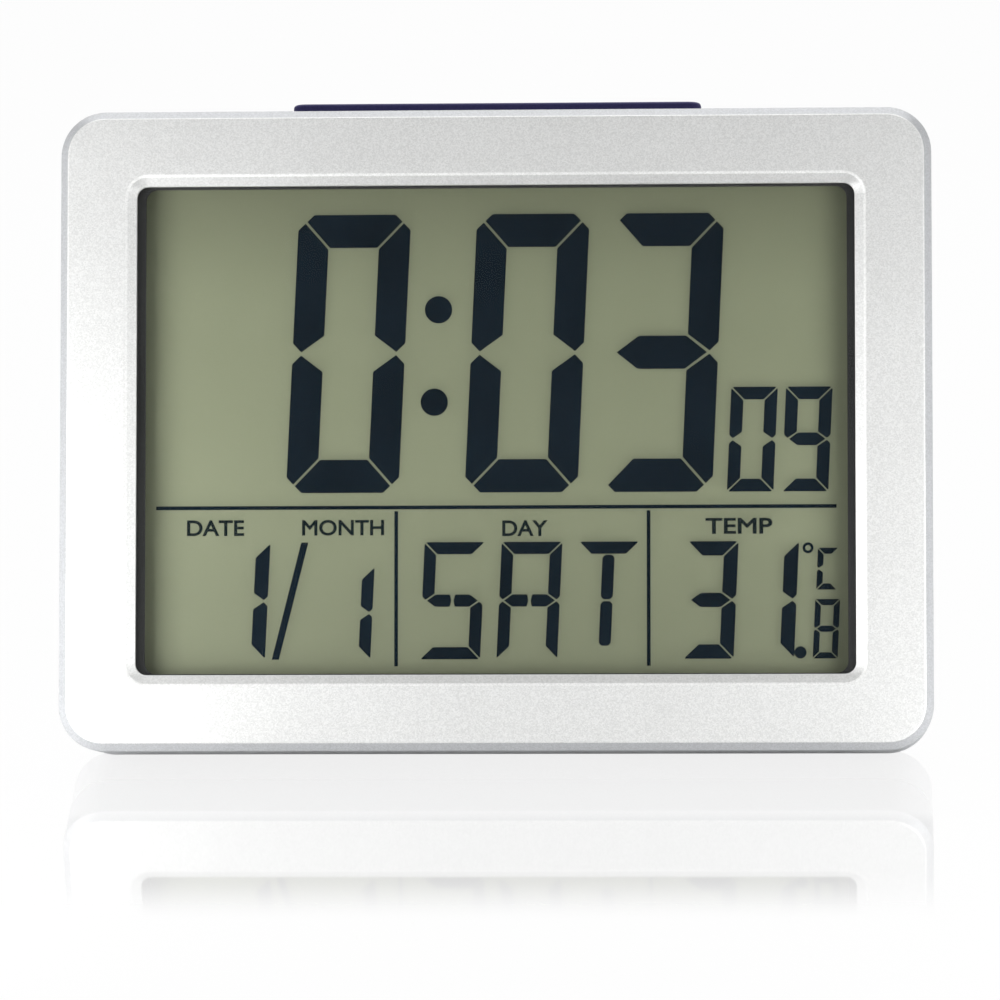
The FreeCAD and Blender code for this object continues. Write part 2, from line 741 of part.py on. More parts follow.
def make_lcd_holder():
    body = new_body("lcd_holder")
    prism(body, "HolderBlock",
          [rounded("0", "window_middle", HOLDER_WIDTH, HOLDER_HEIGHT, "holder_corner")],
          LENS_BACK, BOARD_FRONT + " - " + LENS_BACK)
    prism(body, "Ears", ear_circles("ear_radius"), EAR_FRONT, "ear_thickness")
    prism(body, "EarLinks", [rectangle(side + "(%s - ear_offset / 2)" % EAR_X,
                                       "window_middle %s ear_place" % sign,
                                       "(ear_offset + 1)", "(2 * ear_radius)")
                             for side in SIDES for sign in "-+"],
          EAR_FRONT, "ear_thickness")
    prism(body, "GlassPocket",
          [rectangle("0", "window_middle", "(glass_width + 2 * fit_gap)",
                     "(glass_height + 2 * fit_gap)")],
          GLASS_FRONT, BOARD_FRONT + " - " + GLASS_FRONT, cut=True)
    prism(body, "ViewOpening",
          [rounded("0", "window_middle", "view_width", "view_height", "window_radius")],
          LENS_BACK, "holder_lip", cut=True)
    prism(body, "EarHoles", ear_circles("(small_screw_radius + fit_gap)"), EAR_FRONT,
          "ear_thickness", cut=True)
    return body


def make_glass(label, foot, start):
    """One sheet of display glass, from a foot height up to the top of the cell."""
    body = new_body(label)
    top = "(window_middle + glass_height / 2)"
    prism(body, label.title().replace("_", ""),
          [polygon(("-glass_width / 2", foot), ("glass_width / 2", foot),
                   ("glass_width / 2", top), ("-glass_width / 2", top))],
          start, "reflector_thickness" if label == "lcd_reflector" else "glass_thickness")
    return body


def make_light_guide():
    body = new_body("light_guide")
    low = "(%s + guide_drop)" % GLASS_FOOT
    top = "(window_middle + glass_height / 2)"
    prism(body, "GuidePlate",
          [polygon(("-view_width / 2 - 3", low), ("view_width / 2 + 3", low),
                   ("view_width / 2 + 3", top), ("-view_width / 2 - 3", top))],
          GUIDE_FRONT, "guide_thickness")
    return body


def make_backlight_leds():
    body = new_body("backlight_leds")
    prism(body, "LedBlocks",
          [rectangle(side + "led_place", "%s + guide_drop - fit_gap - led_height / 2" % GLASS_FOOT,
                     "led_length", "led_height") for side in SIDES],
          BOARD_FRONT + " - guide_thickness", "guide_thickness")
    return body


def make_zebra_strip():
    body = new_body("zebra_strip")
    prism(body, "Strip", [rectangle("0", "%s + contact_ledge / 2" % GLASS_FOOT, "zebra_width",
                                    "zebra_thickness")],
          CRYSTAL_FRONT, BOARD_FRONT + " - " + CRYSTAL_FRONT)
    return body


# Digits of the display: shapes in the plane of the liquid crystal

def segment_shapes(width, height, bar, post, divided=False):
    """Outlines of the seven segments of a digit cell whose lower left corner is the origin.

    The corners of the cell are cut off, neighbouring segments are parted by a narrow
    mitre, and the middle bar is a hexagon between the pointed ends of the posts.
    """
    cut = 0.5 * post if post > 0.5 * digit_stroke() else 0.2 * post
    gap = 0.1 + 0.035 * post
    middle = height / 2
    tip = 0.28 * post
    near, far = (cut - gap) / 2, (cut + gap) / 2
    top = [(far, height - near), (cut, height), (width - cut, height),
           (width - far, height - near), (width - post - gap, height - bar),
           (post + gap, height - bar)]
    upper = [(near, height - far), (0, height - cut), (0, middle + gap + 1.2 * tip * 0.85),
             (tip, middle + gap), (post, middle + gap + bar / 2), (post, height - bar - gap)]
    half = bar / 2
    bar_left, bar_right = tip + 1.6 * gap, width - tip - 1.6 * gap
    inner_left, inner_right = post + 1.1 * gap, width - post - 1.1 * gap
    if divided:
        centre, slope = width / 2, 0.45 * half
        middle_shapes = [
            [(bar_left, middle), (inner_left, middle + half), (centre - slope, middle + half),
             (centre - gap / 2 - 0.1, middle), (centre - slope, middle - half),
             (inner_left, middle - half)],
            [(bar_right, middle), (inner_right, middle - half), (centre + slope, middle - half),
             (centre + gap / 2 + 0.1, middle), (centre + slope, middle + half),
             (inner_right, middle + half)]]
    else:
        middle_shapes = [
            [(bar_left, middle), (inner_left, middle + half), (inner_right, middle + half),
             (bar_right, middle), (inner_right, middle - half), (inner_left, middle - half)]]

    def mirrored(points):
        return [(width - x, y) for x, y in points]

    def flipped(points):
        return [(x, height - y) for x, y in points]

    return {"a": [top], "d": [flipped(top)], "f": [upper], "e": [flipped(upper)],
            "b": [mirrored(upper)], "c": [mirrored(flipped(upper))], "g": middle_shapes}


def digit_stroke():
    return number("digit_post")


LIT = {"0": "abcdef", "1": "bc", "3": "abcdg", "8": "abcdefg", "9": "abcdfg", "S": "afgcd",
       "A": "abcefg", "C": "afed"}


def cell_outlines(symbol, left, low, width, height, bar, post, divided=False):
    """Outlines of one symbol, slanted and moved to its place on the display."""
    shapes = segment_shapes(width, height, bar, post, divided)
    lit = [shape for name in LIT.get(symbol, "") for shape in shapes[name]]
    if symbol == "T":
        lit = [shapes["a"][0]]
        half, stem, gap = post / 2, width / 2, 0.1 + 0.035 * post
        for foot, head in ((bar + gap, height / 2 - gap), (height / 2 + gap, height - bar - gap)):
            lit.append([(stem - half / 2, foot), (stem + half / 2, foot),
                        (stem + half, foot + half / 2), (stem + half, head - half / 2),
                        (stem + half / 2, head), (stem - half / 2, head),
                        (stem - half, head - half / 2), (stem - half, foot + half / 2)])
    lean = math.tan(math.radians(number("slant_angle")))
    return [[(left + x + y * lean, low + y) for x, y in shape] for shape in lit]


def display_outlines():
    """Every straight-edged mark that the display shows."""
    size = number
    shapes = []
    big = [size("digit_width"), size("digit_height"), size("digit_bar"), size("digit_post")]
    lefts = [size("digit_left"), size("digit_left + colon_pitch"),
             size("digit_left + colon_pitch + digit_pitch")]
    for symbol, left in zip("003", lefts):
        shapes += cell_outlines(symbol, left, size("digit_up"), *big)
    small = [size("second_width"), size("second_height"), size("second_bar"), size("second_bar")]
    for step, symbol in enumerate("09"):
        shapes += cell_outlines(symbol, size("second_left + %d * second_pitch" % step),
                                size("digit_up"), *small)
    row = [size("row_width"), size("row_height"), size("row_bar"), size("row_bar")]
    low = size("row_up")
    shapes += cell_outlines("1", size("date_left"), low, *row)
    shapes += cell_outlines("1", size("month_left"), low, size("month_width"),
                            size("month_height"), size("month_bar"), size("month_bar"))
    for step, symbol in enumerate("SAT"):
        shapes += cell_outlines(symbol, size("day_left + %d * day_pitch" % step), low,
                                size("day_width"), size("row_height"), size("day_bar"),
                                size("day_bar"), divided=True)
    for step, symbol in enumerate("31"):
        shapes += cell_outlines(symbol, size("degree_left + %d * degree_pitch" % step), low, *row)
    shapes += cell_outlines("8", size("tenth_left"), low, size("tenth_width"),
                            size("tenth_height"), size("tenth_bar"), size("tenth_bar"))
    shapes += cell_outlines("C", size("unit_left"), size("unit_up"), size("unit_width"),
                            size("unit_height"), size("tenth_bar"), size("tenth_bar"))
    shapes += rule_outlines()
    return shapes


def rule_outlines():
    """The rules between the fields and the stroke between date and month."""
    size = number
    half = size("rule_width / 2")
    level_y = size("rule_up")
    rules = [[(size("rule_left"), level_y - half), (size("rule_right"), level_y - half),
              (size("rule_right"), level_y + half), (size("rule_left"), level_y + half)]]
    for name in ("rule_first", "rule_second"):
        x = size(name)
        rules.append([(x - half, size("rule_foot")), (x + half, size("rule_foot")),
                      (x + half, level_y - 2 * half), (x - half, level_y - 2 * half)])
    stroke, lean = size("row_bar / 4"), size("row_height / 4")
    foot, head = size("(date_left + month_left) / 2 + row_bar / 4"), size("row_height")
    rules.append([(foot - stroke, size("row_up")), (foot + stroke, size("row_up")),
                  (foot + lean + stroke, size("row_up") + head),
                  (foot + lean - stroke, size("row_up") + head)])
    return rules


def display_dots():
    """Round marks: centre and radius of the colon, the decimal point and the degree ring."""
    size = number
    slant = math.tan(math.radians(size("slant_angle")))
    dots = []
    for up in ("colon_low", "colon_high"):
        x = size("colon_left") + (size(up) - size("colon_high")) * slant
        dots.append((x, size(up), size("colon_radius"), 0))
    dots.append((size("tenth_left - tenth_bar * 2"), size("row_up + tenth_bar"),
                 size("tenth_bar"), 0))
    dots.append((size("tenth_left - tenth_bar * 0.7"), size("unit_up + unit_height"),
                 size("tenth_bar * 0.9"), size("tenth_bar * 0.45")))
    return dots


def on_glass(x, y, back):
    """Place on the display of a point of the drawing."""
    return Vector(x * number("view_width / drawing_width"),
                  number("window_middle") + (y - number("drawing_middle"))
                  * number("view_height / drawing_height"), back)


def make_lcd_segments():
    """The dark marks as thin solids between the two sheets of glass."""
    thickness = number("crystal_gap")
    back = -number(CRYSTAL_FRONT) - thickness
    solids = []
    for points in display_outlines():
        corners = [on_glass(x, y, back) for x, y in points]
        face = Part.Face(Part.makePolygon(corners + corners[:1]))
        solids.append(face.extrude(Vector(0, 0, thickness)))
    for x, y, radius, hole in display_dots():
        dot = Part.makeCylinder(radius, thickness, on_glass(x, y, back))
        if hole:
            dot = dot.cut(Part.makeCylinder(hole, thickness, on_glass(x, y, back)))
        solids.append(dot)
    return plain_feature("lcd_segments", Part.makeCompound(solids))


def plain_feature(label, shape):
    """A piece whose shape is worked out here, placed like the others."""
    feature = doc.addObject("Part::Feature", label)
    feature.Label = label
    feature.Shape = shape
    feature.Placement = Placement(Vector(0, -number(LAND_BACK), number(TABLE_RISE)),
                                  Rotation(Vector(1, 0, 0), 90 - number("lean_angle")))
    return feature


# Boards and what they carry

def make_main_board():
    body = new_body("main_board")
    prism(body, "BoardPlate",
          [rectangle("0", "board_foot + board_height / 2", "board_width", "board_height")],
          BOARD_FRONT, "board_thickness")
    prism(body, "BoardHoles", board_circles("(small_screw_radius + fit_gap)"), BOARD_FRONT,
          "board_thickness", cut=True)
    return body


def make_chip_blob():
    body = new_body("chip_blob")
    prism(body, "Blob", [circle("-blob_place", "blob_up", "blob_radius")], BOARD_BACK,
          "blob_height")
    round_edges(body, "BlobRound", "blob_height * 0.8", at_depth(BOARD_BACK + " + blob_height"))
    return body


def make_quartz_crystal():
    body = new_body("quartz_crystal")
    prism(body, "CrystalCan", [circle("crystal_place", "-(%s + crystal_radius)" % BOARD_BACK,
                                      "crystal_radius")],
          "blob_up - crystal_length / 2", "crystal_length", plane="top")
    return body


def make_key_board():
    body = new_body("key_board")
    prism(body, "KeyBoardPlate",
          [rectangle("-key_block", "key_board_middle", "key_board_width", "key_board_height")],
          "key_board_depth", "board_thickness")
    prism(body, "KeyBoardHoles", [circle("-key_block", "key_row %s key_post" % sign,
                                         "(small_screw_radius + fit_gap)") for sign in "-+"],
          "key_board_depth", "board_thickness", cut=True)
    return body


def make_snooze_board():
    body = new_body("snooze_board")
    prism(body, "SnoozeBoardPlate",
          [rectangle("0", "-" + BAR_MIDDLE, "snooze_board_width", "snooze_board_depth")],
          SNOOZE_BOARD_TOP + " - board_thickness", "board_thickness", plane="top")
    prism(body, "SnoozeBoardHoles",
          [circle(side + "(snooze_board_width / 2 - 3)", "-" + BAR_MIDDLE,
                  "(small_screw_radius + fit_gap)") for side in SIDES],
          SNOOZE_BOARD_TOP + " - board_thickness", "board_thickness", plane="top", cut=True)
    return body


KEY_NAMES = ("mode_key", "set_key", "up_key", "down_key", "alarm_key", "unit_key")
KEY_PLACES = {
    name: ("(-key_block %s key_column)" % "-+"[index % 2],
           "(key_row %s)" % ("+ key_pitch", "", "- key_pitch")[index // 2])
    for index, name in enumerate(KEY_NAMES)
}


def make_key_switches():
    """Six push switches on the key board, with round buttons."""
    body = new_body("key_switches")
    prism(body, "SwitchBodies", [rectangle(x, y, "switch_side", "switch_side")
                                 for x, y in KEY_PLACES.values()],
          KEY_BOARD_BACK, "switch_height")
    prism(body, "SwitchButtons", [circle(x, y, "switch_button_radius")
                                  for x, y in KEY_PLACES.values()],
          KEY_BOARD_BACK + " + switch_height", "switch_button_height")
    return body


def make_snooze_switch():
    body = new_body("snooze_switch")
    prism(body, "SnoozeSwitchBody",
          [rectangle("0", "-" + BAR_MIDDLE, "switch_side", "switch_side")],
          SNOOZE_BOARD_TOP, "switch_height", plane="top")
    prism(body, "SnoozeSwitchButton", [circle("0", "-" + BAR_MIDDLE, "switch_button_radius")],
          SNOOZE_BOARD_TOP + " + switch_height", "switch_button_height", plane="top")
    return body


def make_alarm_switch():
    body = new_body("alarm_switch")
    prism(body, "AlarmSwitchBody",
          [rectangle("-key_block", "slider_up", "slider_body_width", "slider_body_height")],
          KEY_BOARD_BACK, "slider_body_depth")
    return body


def make_buzzer():
    """Brass disc with a smaller ceramic disc on the side away from the grille."""
    body = new_body("buzzer")
    disc = REAR_INSIDE + " - buzzer_chamber - buzzer_thickness"
    prism(body, "BrassDisc", [circle("buzzer_place", "buzzer_up", "buzzer_radius")], disc,
          "buzzer_thickness")
    prism(body, "CeramicDisc", [circle("buzzer_place", "buzzer_up", "buzzer_ceramic")],
          disc + " - buzzer_thickness", "buzzer_thickness")
    return body


def make_thermistor():
    """Bead on two stiff leads that stand on the main board behind the vents."""
    body = new_body("thermistor")
    prism(body, "ThermistorLeads",
          [circle("thermistor_place %s thermistor_bead / 2" % sign, "thermistor_up",
                  "(thermistor_bead / 4)") for sign in "-+"],
          BOARD_BACK, "thermistor_reach - thermistor_bead")
    prism(body, "ThermistorBead",
          [circle("thermistor_place", "thermistor_up", "thermistor_bead")],
          BOARD_BACK + " + thermistor_reach - 2 * thermistor_bead", "2 * thermistor_bead")
    round_edges(body, "BeadRound", "thermistor_bead * 0.6",
                at_depth(BOARD_BACK + " + thermistor_reach"))
    return body


# Keys, slider and snooze bar

def make_key(name):
    """Round cap through the rear wall, with a flange inside and a stem to its switch."""
    x, y = KEY_PLACES[name]
    body = new_body(name)
    word = name.title().replace("_", "")
    flange = REAR_INSIDE + " - seat_gap - key_flange"
    stem = "(%s + key_travel + seat_gap)" % KEY_BUTTON_TOP
    prism(body, word + "Cap", [circle(x, y, "key_radius")], REAR_INSIDE + " - seat_gap",
          "wall + seat_gap + key_proud")
    round_edges(body, word + "Chamfer", "key_chamfer", at_depth("case_depth + key_proud"),
                chamfer=True)
    prism(body, word + "Flange", [circle(x, y, "(key_radius + key_flange + moving_gap)")],
          flange, "key_flange")
    prism(body, word + "Stem", [circle(x, y, "stem_radius")], stem,
          flange + " - " + stem)
    return body


def make_alarm_slider():
    """Knob and lever of the slide switch, resting at one end of its slot."""
    body = new_body("alarm_slider")
    x = "(-key_block - slider_travel / 2)"
    lever = "(%s + slider_body_depth + fit_gap)" % KEY_BOARD_BACK
    prism(body, "SliderKnob", [rectangle(x, "slider_up", "slider_width", "slider_height")],
          lever, "case_depth + slider_proud - " + lever)
    prism(body, "SliderPlate",
          [rectangle(x, "slider_up", "(slider_width + 2 * slider_travel + 2 * moving_gap)",
                     "(slider_height + 4 * moving_gap + 1)")],
          REAR_INSIDE + " - seat_gap - key_flange", "key_flange")
    round_edges(body, "SliderChamfer", "key_chamfer",
                at_depth("case_depth + slider_proud"), chamfer=True)
    return body


def make_snooze_bar():
    """Long bar in the top of the case, hollow below, with a plunger over its switch."""
    body = new_body("snooze_bar")
    top = "(case_height + bar_proud)"
    flange_top = "(case_height - wall - seat_gap)"
    prism(body, "BarBlock", [bar_outline()], flange_top, top + " - " + flange_top, plane="top")
    round_edges(body, "BarRound", "bar_round", at_height(top))
    prism(body, "BarFlange", [bar_outline("(moving_gap + flange_margin)")],
          flange_top + " - flange_thickness", "flange_thickness", plane="top")
    prism(body, "BarHollow", [rounded("0", "-" + BAR_MIDDLE, "(bar_width - 2 * bar_shell)",
                                      "(bar_depth - 2 * bar_shell)",
                                      "(bar_radius - bar_shell)")],
          flange_top + " - flange_thickness",
          top + " - bar_shell - %s + flange_thickness" % flange_top, plane="top", cut=True)
    plunger = "(%s + snooze_travel + fit_gap)" % SNOOZE_BUTTON_TOP
    prism(body, "BarPlunger", [circle("0", "-" + BAR_MIDDLE, "plunger_radius")], plunger,
          top + " - bar_shell - " + plunger, plane="top")
    return body


# Battery bay

def cell_rows():
    """Height of each cell's axis and the side that its positive end faces."""
    return (("(battery_middle + cell_pitch / 2)", "-"), ("(battery_middle - cell_pitch / 2)", ""))


CELL_AXIS = "(%s - cell_radius)" % CELL_BACK


def make_battery_cells():
    """Two cells side by side, facing opposite ways."""
    body = new_body("battery_cells")
    can = "(cell_length - cell_nub_height)"
    for index, (up, side) in enumerate(cell_rows()):
        start = "-cell_length / 2 + cell_nub_height" if side == "-" else "-cell_length / 2"
        prism(body, "CellCan%d" % index, [circle(up, "-" + CELL_AXIS, "cell_radius")], start, can,
              plane="side")
        nub = "-cell_length / 2" if side == "-" else "cell_length / 2 - cell_nub_height"
        prism(body, "CellNub%d" % index, [circle(up, "-" + CELL_AXIS, "cell_nub_radius")], nub,
              "cell_nub_height", plane="side")
    return body


def contact_plate(body, name, side, low, high):
    """Flat plate against one end wall of the bay, between two heights."""
    start = "-%s / 2" % BAY_WIDTH if side == "-" else "%s / 2 - contact_thickness" % BAY_WIDTH
    depth = "(-%s)" % CELL_AXIS
    prism(body, name, [polygon((low, depth + " - contact_width / 2"),
                               (high, depth + " - contact_width / 2"),
                               (high, depth + " + contact_width / 2"),
                               (low, depth + " + contact_width / 2"))],
          start, "contact_thickness", plane="side")


def contact_dimple(body, name, side, up):
    """Raised button that meets the positive end of a cell."""
    reach = "(contact_space - contact_thickness - seat_gap)"
    edge = "(%s / 2 - contact_thickness)" % BAY_WIDTH
    start = "-" + edge if side == "-" else "%s - %s" % (edge, reach)
    prism(body, name, [circle(up, "-" + CELL_AXIS, "cell_nub_radius")], start, reach,
          plane="side")


def contact_leaf(body, name, side, up):
    """Bent leaf that presses on the negative end of a cell."""
    edge = "(%s / 2 - contact_thickness)" % BAY_WIDTH
    sign = "-" if side == "-" else ""
    inward = "+" if side == "-" else "-"
    depth = "(-%s)" % CELL_AXIS
    reach = "(contact_space - contact_thickness - seat_gap)"

    def across(shift):
        return "(%s%s %s %s)" % (sign, edge, inward, shift)

    quarter = "contact_width / 4"
    prism(body, name,
          [polygon((across("0"), depth + " - contact_width / 2"),
                   (across(reach), depth + " - " + quarter),
                   (across(reach), depth + " + " + quarter),
                   (across("(%s - contact_thickness)" % reach), depth + " + " + quarter),
                   (across("(%s - contact_thickness)" % reach),
                    depth + " - %s + contact_thickness" % quarter),
                   (across("0"), depth + " - contact_width / 2 + 2 * contact_thickness"))],
          "%s - contact_width / 4" % up, "contact_width / 2", plane="top")


def make_contacts():
    """Positive and negative contact at the left end and the bridge at the right end."""
    upper, lower = cell_rows()[0][0], cell_rows()[1][0]
    half = "contact_width / 2"
    plus = new_body("battery_contact_plus")
    contact_plate(plus, "PlusPlate", "-", "%s - %s" % (upper, half), "%s + %s" % (upper, half))
    contact_dimple(plus, "PlusDimple", "-", upper)
    minus = new_body("battery_contact_minus")
    contact_plate(minus, "MinusPlate", "-", "%s - %s" % (lower, half), "%s + %s" % (lower, half))
    contact_leaf(minus, "MinusLeaf", "-", lower)
    bridge = new_body("battery_bridge")
    contact_plate(bridge, "BridgePlate", "", "%s - %s" % (lower, half), "%s + %s" % (upper, half))
    contact_dimple(bridge, "BridgeDimple", "", lower)
    contact_leaf(bridge, "BridgeLeaf", "", upper)
    return [plus, minus, bridge]


def make_battery_door():
    """Lid with a rounded lower edge, two tabs below it and grip ribs near the top."""
    body = new_body("battery_door")
    width = "(%s - 2 * moving_gap)" % SEAT_WIDTH
    top = "(battery_middle + %s / 2 - moving_gap)" % SEAT_HEIGHT
    half = "(door_thickness / 2)"
    prism(body, "DoorPlate",
          [polygon(("-%s / 2" % width, DOOR_FOOT + " + " + half),
                   ("%s / 2" % width, DOOR_FOOT + " + " + half),
                   ("%s / 2" % width, top), ("-%s / 2" % width, top))],
          "case_depth - door_thickness", "door_thickness")
    prism(body, "DoorHingeRound",
          [circle(DOOR_FOOT + " + " + half, "-(case_depth - %s)" % half, half)],
          "-%s / 2" % width, width, plane="side")
    tab = "(case_depth - door_thickness - door_tab_thickness)"
    prism(body, "DoorTabs",
          [rectangle(side + "door_tab_place",
                     DOOR_FOOT + " + (door_tab_thickness - door_tab_reach) / 2",
                     "door_tab_width", "(door_tab_reach + door_tab_thickness)")
           for side in SIDES],
          tab + " - moving_gap", "door_tab_thickness")
    prism(body, "DoorTabRoots",
          [rectangle(side + "door_tab_place", DOOR_FOOT + " + moving_gap + " + half,
                     "door_tab_width", "(2 * moving_gap + %s)" % half) for side in SIDES],
          tab + " - moving_gap", "door_tab_thickness + moving_gap + " + half)
    prism(body, "LatchSlits",
          [rectangle(side + "(latch_width / 2)", top + " - latch_length / 2", "latch_slit",
                     "latch_length") for side in SIDES],
          "case_depth - door_thickness", "door_thickness", cut=True)
    prism(body, "DoorGrips",
          [rectangle("0", "%s - %d * door_thickness" % (top, step),
                     "(latch_width - 4 * latch_slit)", "latch_slit") for step in (1, 2, 3)],
          "case_depth", "latch_slit / 2")
    return body


# Stand

def make_stand():
    """Flap drawn about its hinge axis, swung out so that its foot is flat on the table."""
    body = doc.addObject("PartDesign::Body", "stand")
    body.Label = "stand"
    body.Placement = Placement(Vector(0, 0, 0), Rotation(Vector(1, 0, 0), -80))
    bind(body, ".Placement.Rotation.Angle", "%s - 90" % STAND_TILT)
    bind(body, ".Placement.Base.y", PIVOT_BACK)
    bind(body, ".Placement.Base.z", PIVOT_RISE)
    half, inner = "(stand_thickness / 2)", "(-stand_thickness / 2)"
    prism(body, "FlapPlate",
          [polygon(("-" + STAND_HEEL, inner), (foot_reach(inner), inner),
                   (foot_reach(half), half), ("-" + STAND_HEEL, half))],
          "-stand_width / 2", "stand_width", plane="side")
    low, high = number(foot_reach(inner)), number(foot_reach(half))
    round_edges(body, "FlapCorners", "stand_thickness",
                lambda box: box.YMin > low - 0.01 and box.YMax < high + 0.01
                and box.XLength < 0.01 and box.ZLength > 1)
    prism(body, "FlapPins", [circle("0", "0", "stand_pin_radius")],
          "-(stand_width / 2 + moving_gap + stand_pin_length)",
          "stand_width + 2 * (moving_gap + stand_pin_length)", plane="side")
    prism(body, "FlapNotch",
          [circle("0", foot_reach("0") + " + stand_notch / 2", "stand_notch")],
          "-" + half, "stand_thickness", cut=True)
    cell = "((stand_width - 4 * stand_shell) / 3)"
    tall = "(%s - stand_notch - 3 * stand_shell)" % foot_reach("0")
    prism(body, "FlapHollows",
          [rounded("%d * (%s + stand_shell)" % (step, cell), "(%s / 2 + stand_shell)" % tall,
                   cell, tall, "stand_rib") for step in (-1, 0, 1)],
          "-(%s - stand_shell)" % half, "stand_thickness - stand_shell", cut=True)
    return body


# Leads

def route_wire(points):
    """Straight runs joined by tangent arcs as large as the shorter neighbouring run allows."""
    places = [Vector(x, y, -depth) for x, y, depth in points]
    edges, radii = [], []
    start = places[0]
    for before, corner, after in zip(places, places[1:], places[2:]):
        into, out = (corner - before).normalize(), (after - corner).normalize()
        half_turn = into.getAngle(out) / 2
        leg = 0.45 * min((corner - before).Length, (after - corner).Length)
        first, last = corner - into * leg, corner + out * leg
        radii.append(leg / math.tan(half_turn))
        to_centre = (out - into).normalize()
        bulge = radii[-1] / math.cos(half_turn) - radii[-1]
        edges.append(Part.LineSegment(start, first).toShape())
        edges.append(Part.Arc(first, corner + to_centre * bulge, last).toShape())
        start = last
    edges.append(Part.LineSegment(start, places[-1]).toShape())
    return Part.Wire(edges), radii


def make_leads(label, routes, radius):
    """One insulated lead along each route."""
    solids = []
    for points in routes:
        wire, radii = route_wire(points)
        heading = wire.Edges[0].tangentAt(wire.Edges[0].FirstParameter)
        circle_round = Part.makeCircle(radius, wire.Edges[0].Vertexes[0].Point, heading)
        ring = Part.makePolygon(circle_round.discretize(int(number("lead_sides")) + 1))
        solid = wire.makePipeShell([ring], True, False)
        share = solid.Volume / (Part.Face(ring).Area * wire.Length)
        print("%s: least bend radius %.1f mm, volume share %.4f" % (label, min(radii), share))
        solids.append(solid)
    return plain_feature(label, Part.makeCompound(solids))


def make_all_leads():
    size = number
    board = size(BOARD_BACK)
    rise = board + size("lead_rise")
    spread = size("lead_spread")
    drop = size("lead_drop")
    top_of_board = size("board_foot + board_height")
    solder = top_of_board - size("solder_inset")
    over = top_of_board + size("lead_rise")
    bay_side = size("%s / 2 + bay_wall" % BAY_WIDTH)
    cell = size(CELL_AXIS)
    wire = size("lead_radius")
    upper, lower = (size(up) for up, _ in cell_rows())
    for label, up, lane in (("battery_lead_red", upper, 2), ("battery_lead_black", lower, 1)):
        x = -bay_side - lane * spread
        make_leads(label, [[(-bay_side, up, cell), (x, up, cell), (x, up - drop, cell - spread / 2),
                            (x, over, rise), (x, solder, rise), (x, solder, board)]], wire)
    disc = size(REAR_INSIDE + " - buzzer_chamber - 2 * buzzer_thickness")
    x, y = size("buzzer_place"), size("buzzer_up")
    make_leads("buzzer_leads",
               [[(x + side, y, disc), (x + side, y, disc - spread),
                 (x + side, y - drop, disc - 2 * spread), (x + side, over, rise),
                 (x + side, solder, rise), (x + side, solder, board)]
                for side in (-2 * wire, 2 * wire)], wire)
    snooze_x = size("snooze_board_width / 2")
    snooze_up = size(SNOOZE_BOARD_TOP + " - board_thickness / 2")
    middle = size(BAR_MIDDLE)
    aside = bay_side + spread
    make_leads("snooze_leads",
               [[(snooze_x, snooze_up, middle + side), (aside + side, snooze_up, middle + side),
                 (aside + side, snooze_up - drop, middle - wire),
                 (aside + side, over, rise), (aside + side, solder, rise),
                 (aside + side, solder, board)] for side in (-2 * wire, 2 * wire)], wire)


def make_key_leads():
    """Flat ribbon between the key board and the main board, with its leads side by side."""
    body = new_body("key_leads")
    foot = "(key_board_middle - key_board_height / 2 + lead_spread)"
    solder = "(board_foot + board_height - solder_inset)"
    thick = "ribbon_thickness"
    near = "(%s + lead_rise / 2)" % BOARD_BACK
    far = "(key_board_depth - lead_rise / 2)"
    prism(body, "Ribbon",
          [polygon((foot, "-key_board_depth"), (foot, "-" + far), (solder, "-" + near),
                   (solder, "-" + BOARD_BACK), (solder + " - " + thick, "-" + BOARD_BACK),
                   (solder + " - " + thick, "-(%s + %s)" % (near, thick)),
                   (foot + " - " + thick, "-(%s + %s)" % (far, thick)),
                   (foot + " - " + thick, "-key_board_depth"))],
          "-key_block - ribbon_width / 2", "ribbon_width", plane="side")
    return body


# Screws

def make_case_screws():
    body = new_body("case_screws")
    seat = "(case_depth - counterbore_depth)"
    prism(body, "CaseShanks", corner_circles("case_screw_radius"), seat + " - case_screw_length",
          "case_screw_length")
    prism(body, "CaseHeads", corner_circles("case_head_radius"), seat, "case_head_height")
    cross_recess(body, "CaseCross", [(side + SCREW_X, up) for side in SIDES
                                     for up in ("screw_inset", "case_height - screw_inset")],
                 seat + " + case_head_height / 2", "case_head_radius", "case_head_height / 2")
    return body


def cross_recess(body, name, places, start, radius, depth):
    """Cross-shaped driver recess in each head."""
    for bar, (wide, tall) in enumerate(((1.2, 0.3), (0.3, 1.2))):
        prism(body, "%s%d" % (name, bar),
              [rectangle(x, y, "(%s * %g)" % (radius, wide), "(%s * %g)" % (radius, tall))
               for x, y in places], start, depth, cut=True)


def make_holder_screws():
    body = new_body("holder_screws")
    seat = "(%s + ear_thickness)" % EAR_FRONT
    prism(body, "EarShanks", ear_circles("small_screw_radius"),
          seat + " - small_screw_length", "small_screw_length")
    prism(body, "EarHeads", ear_circles("small_head_radius"), seat, "small_head_height")
    return body


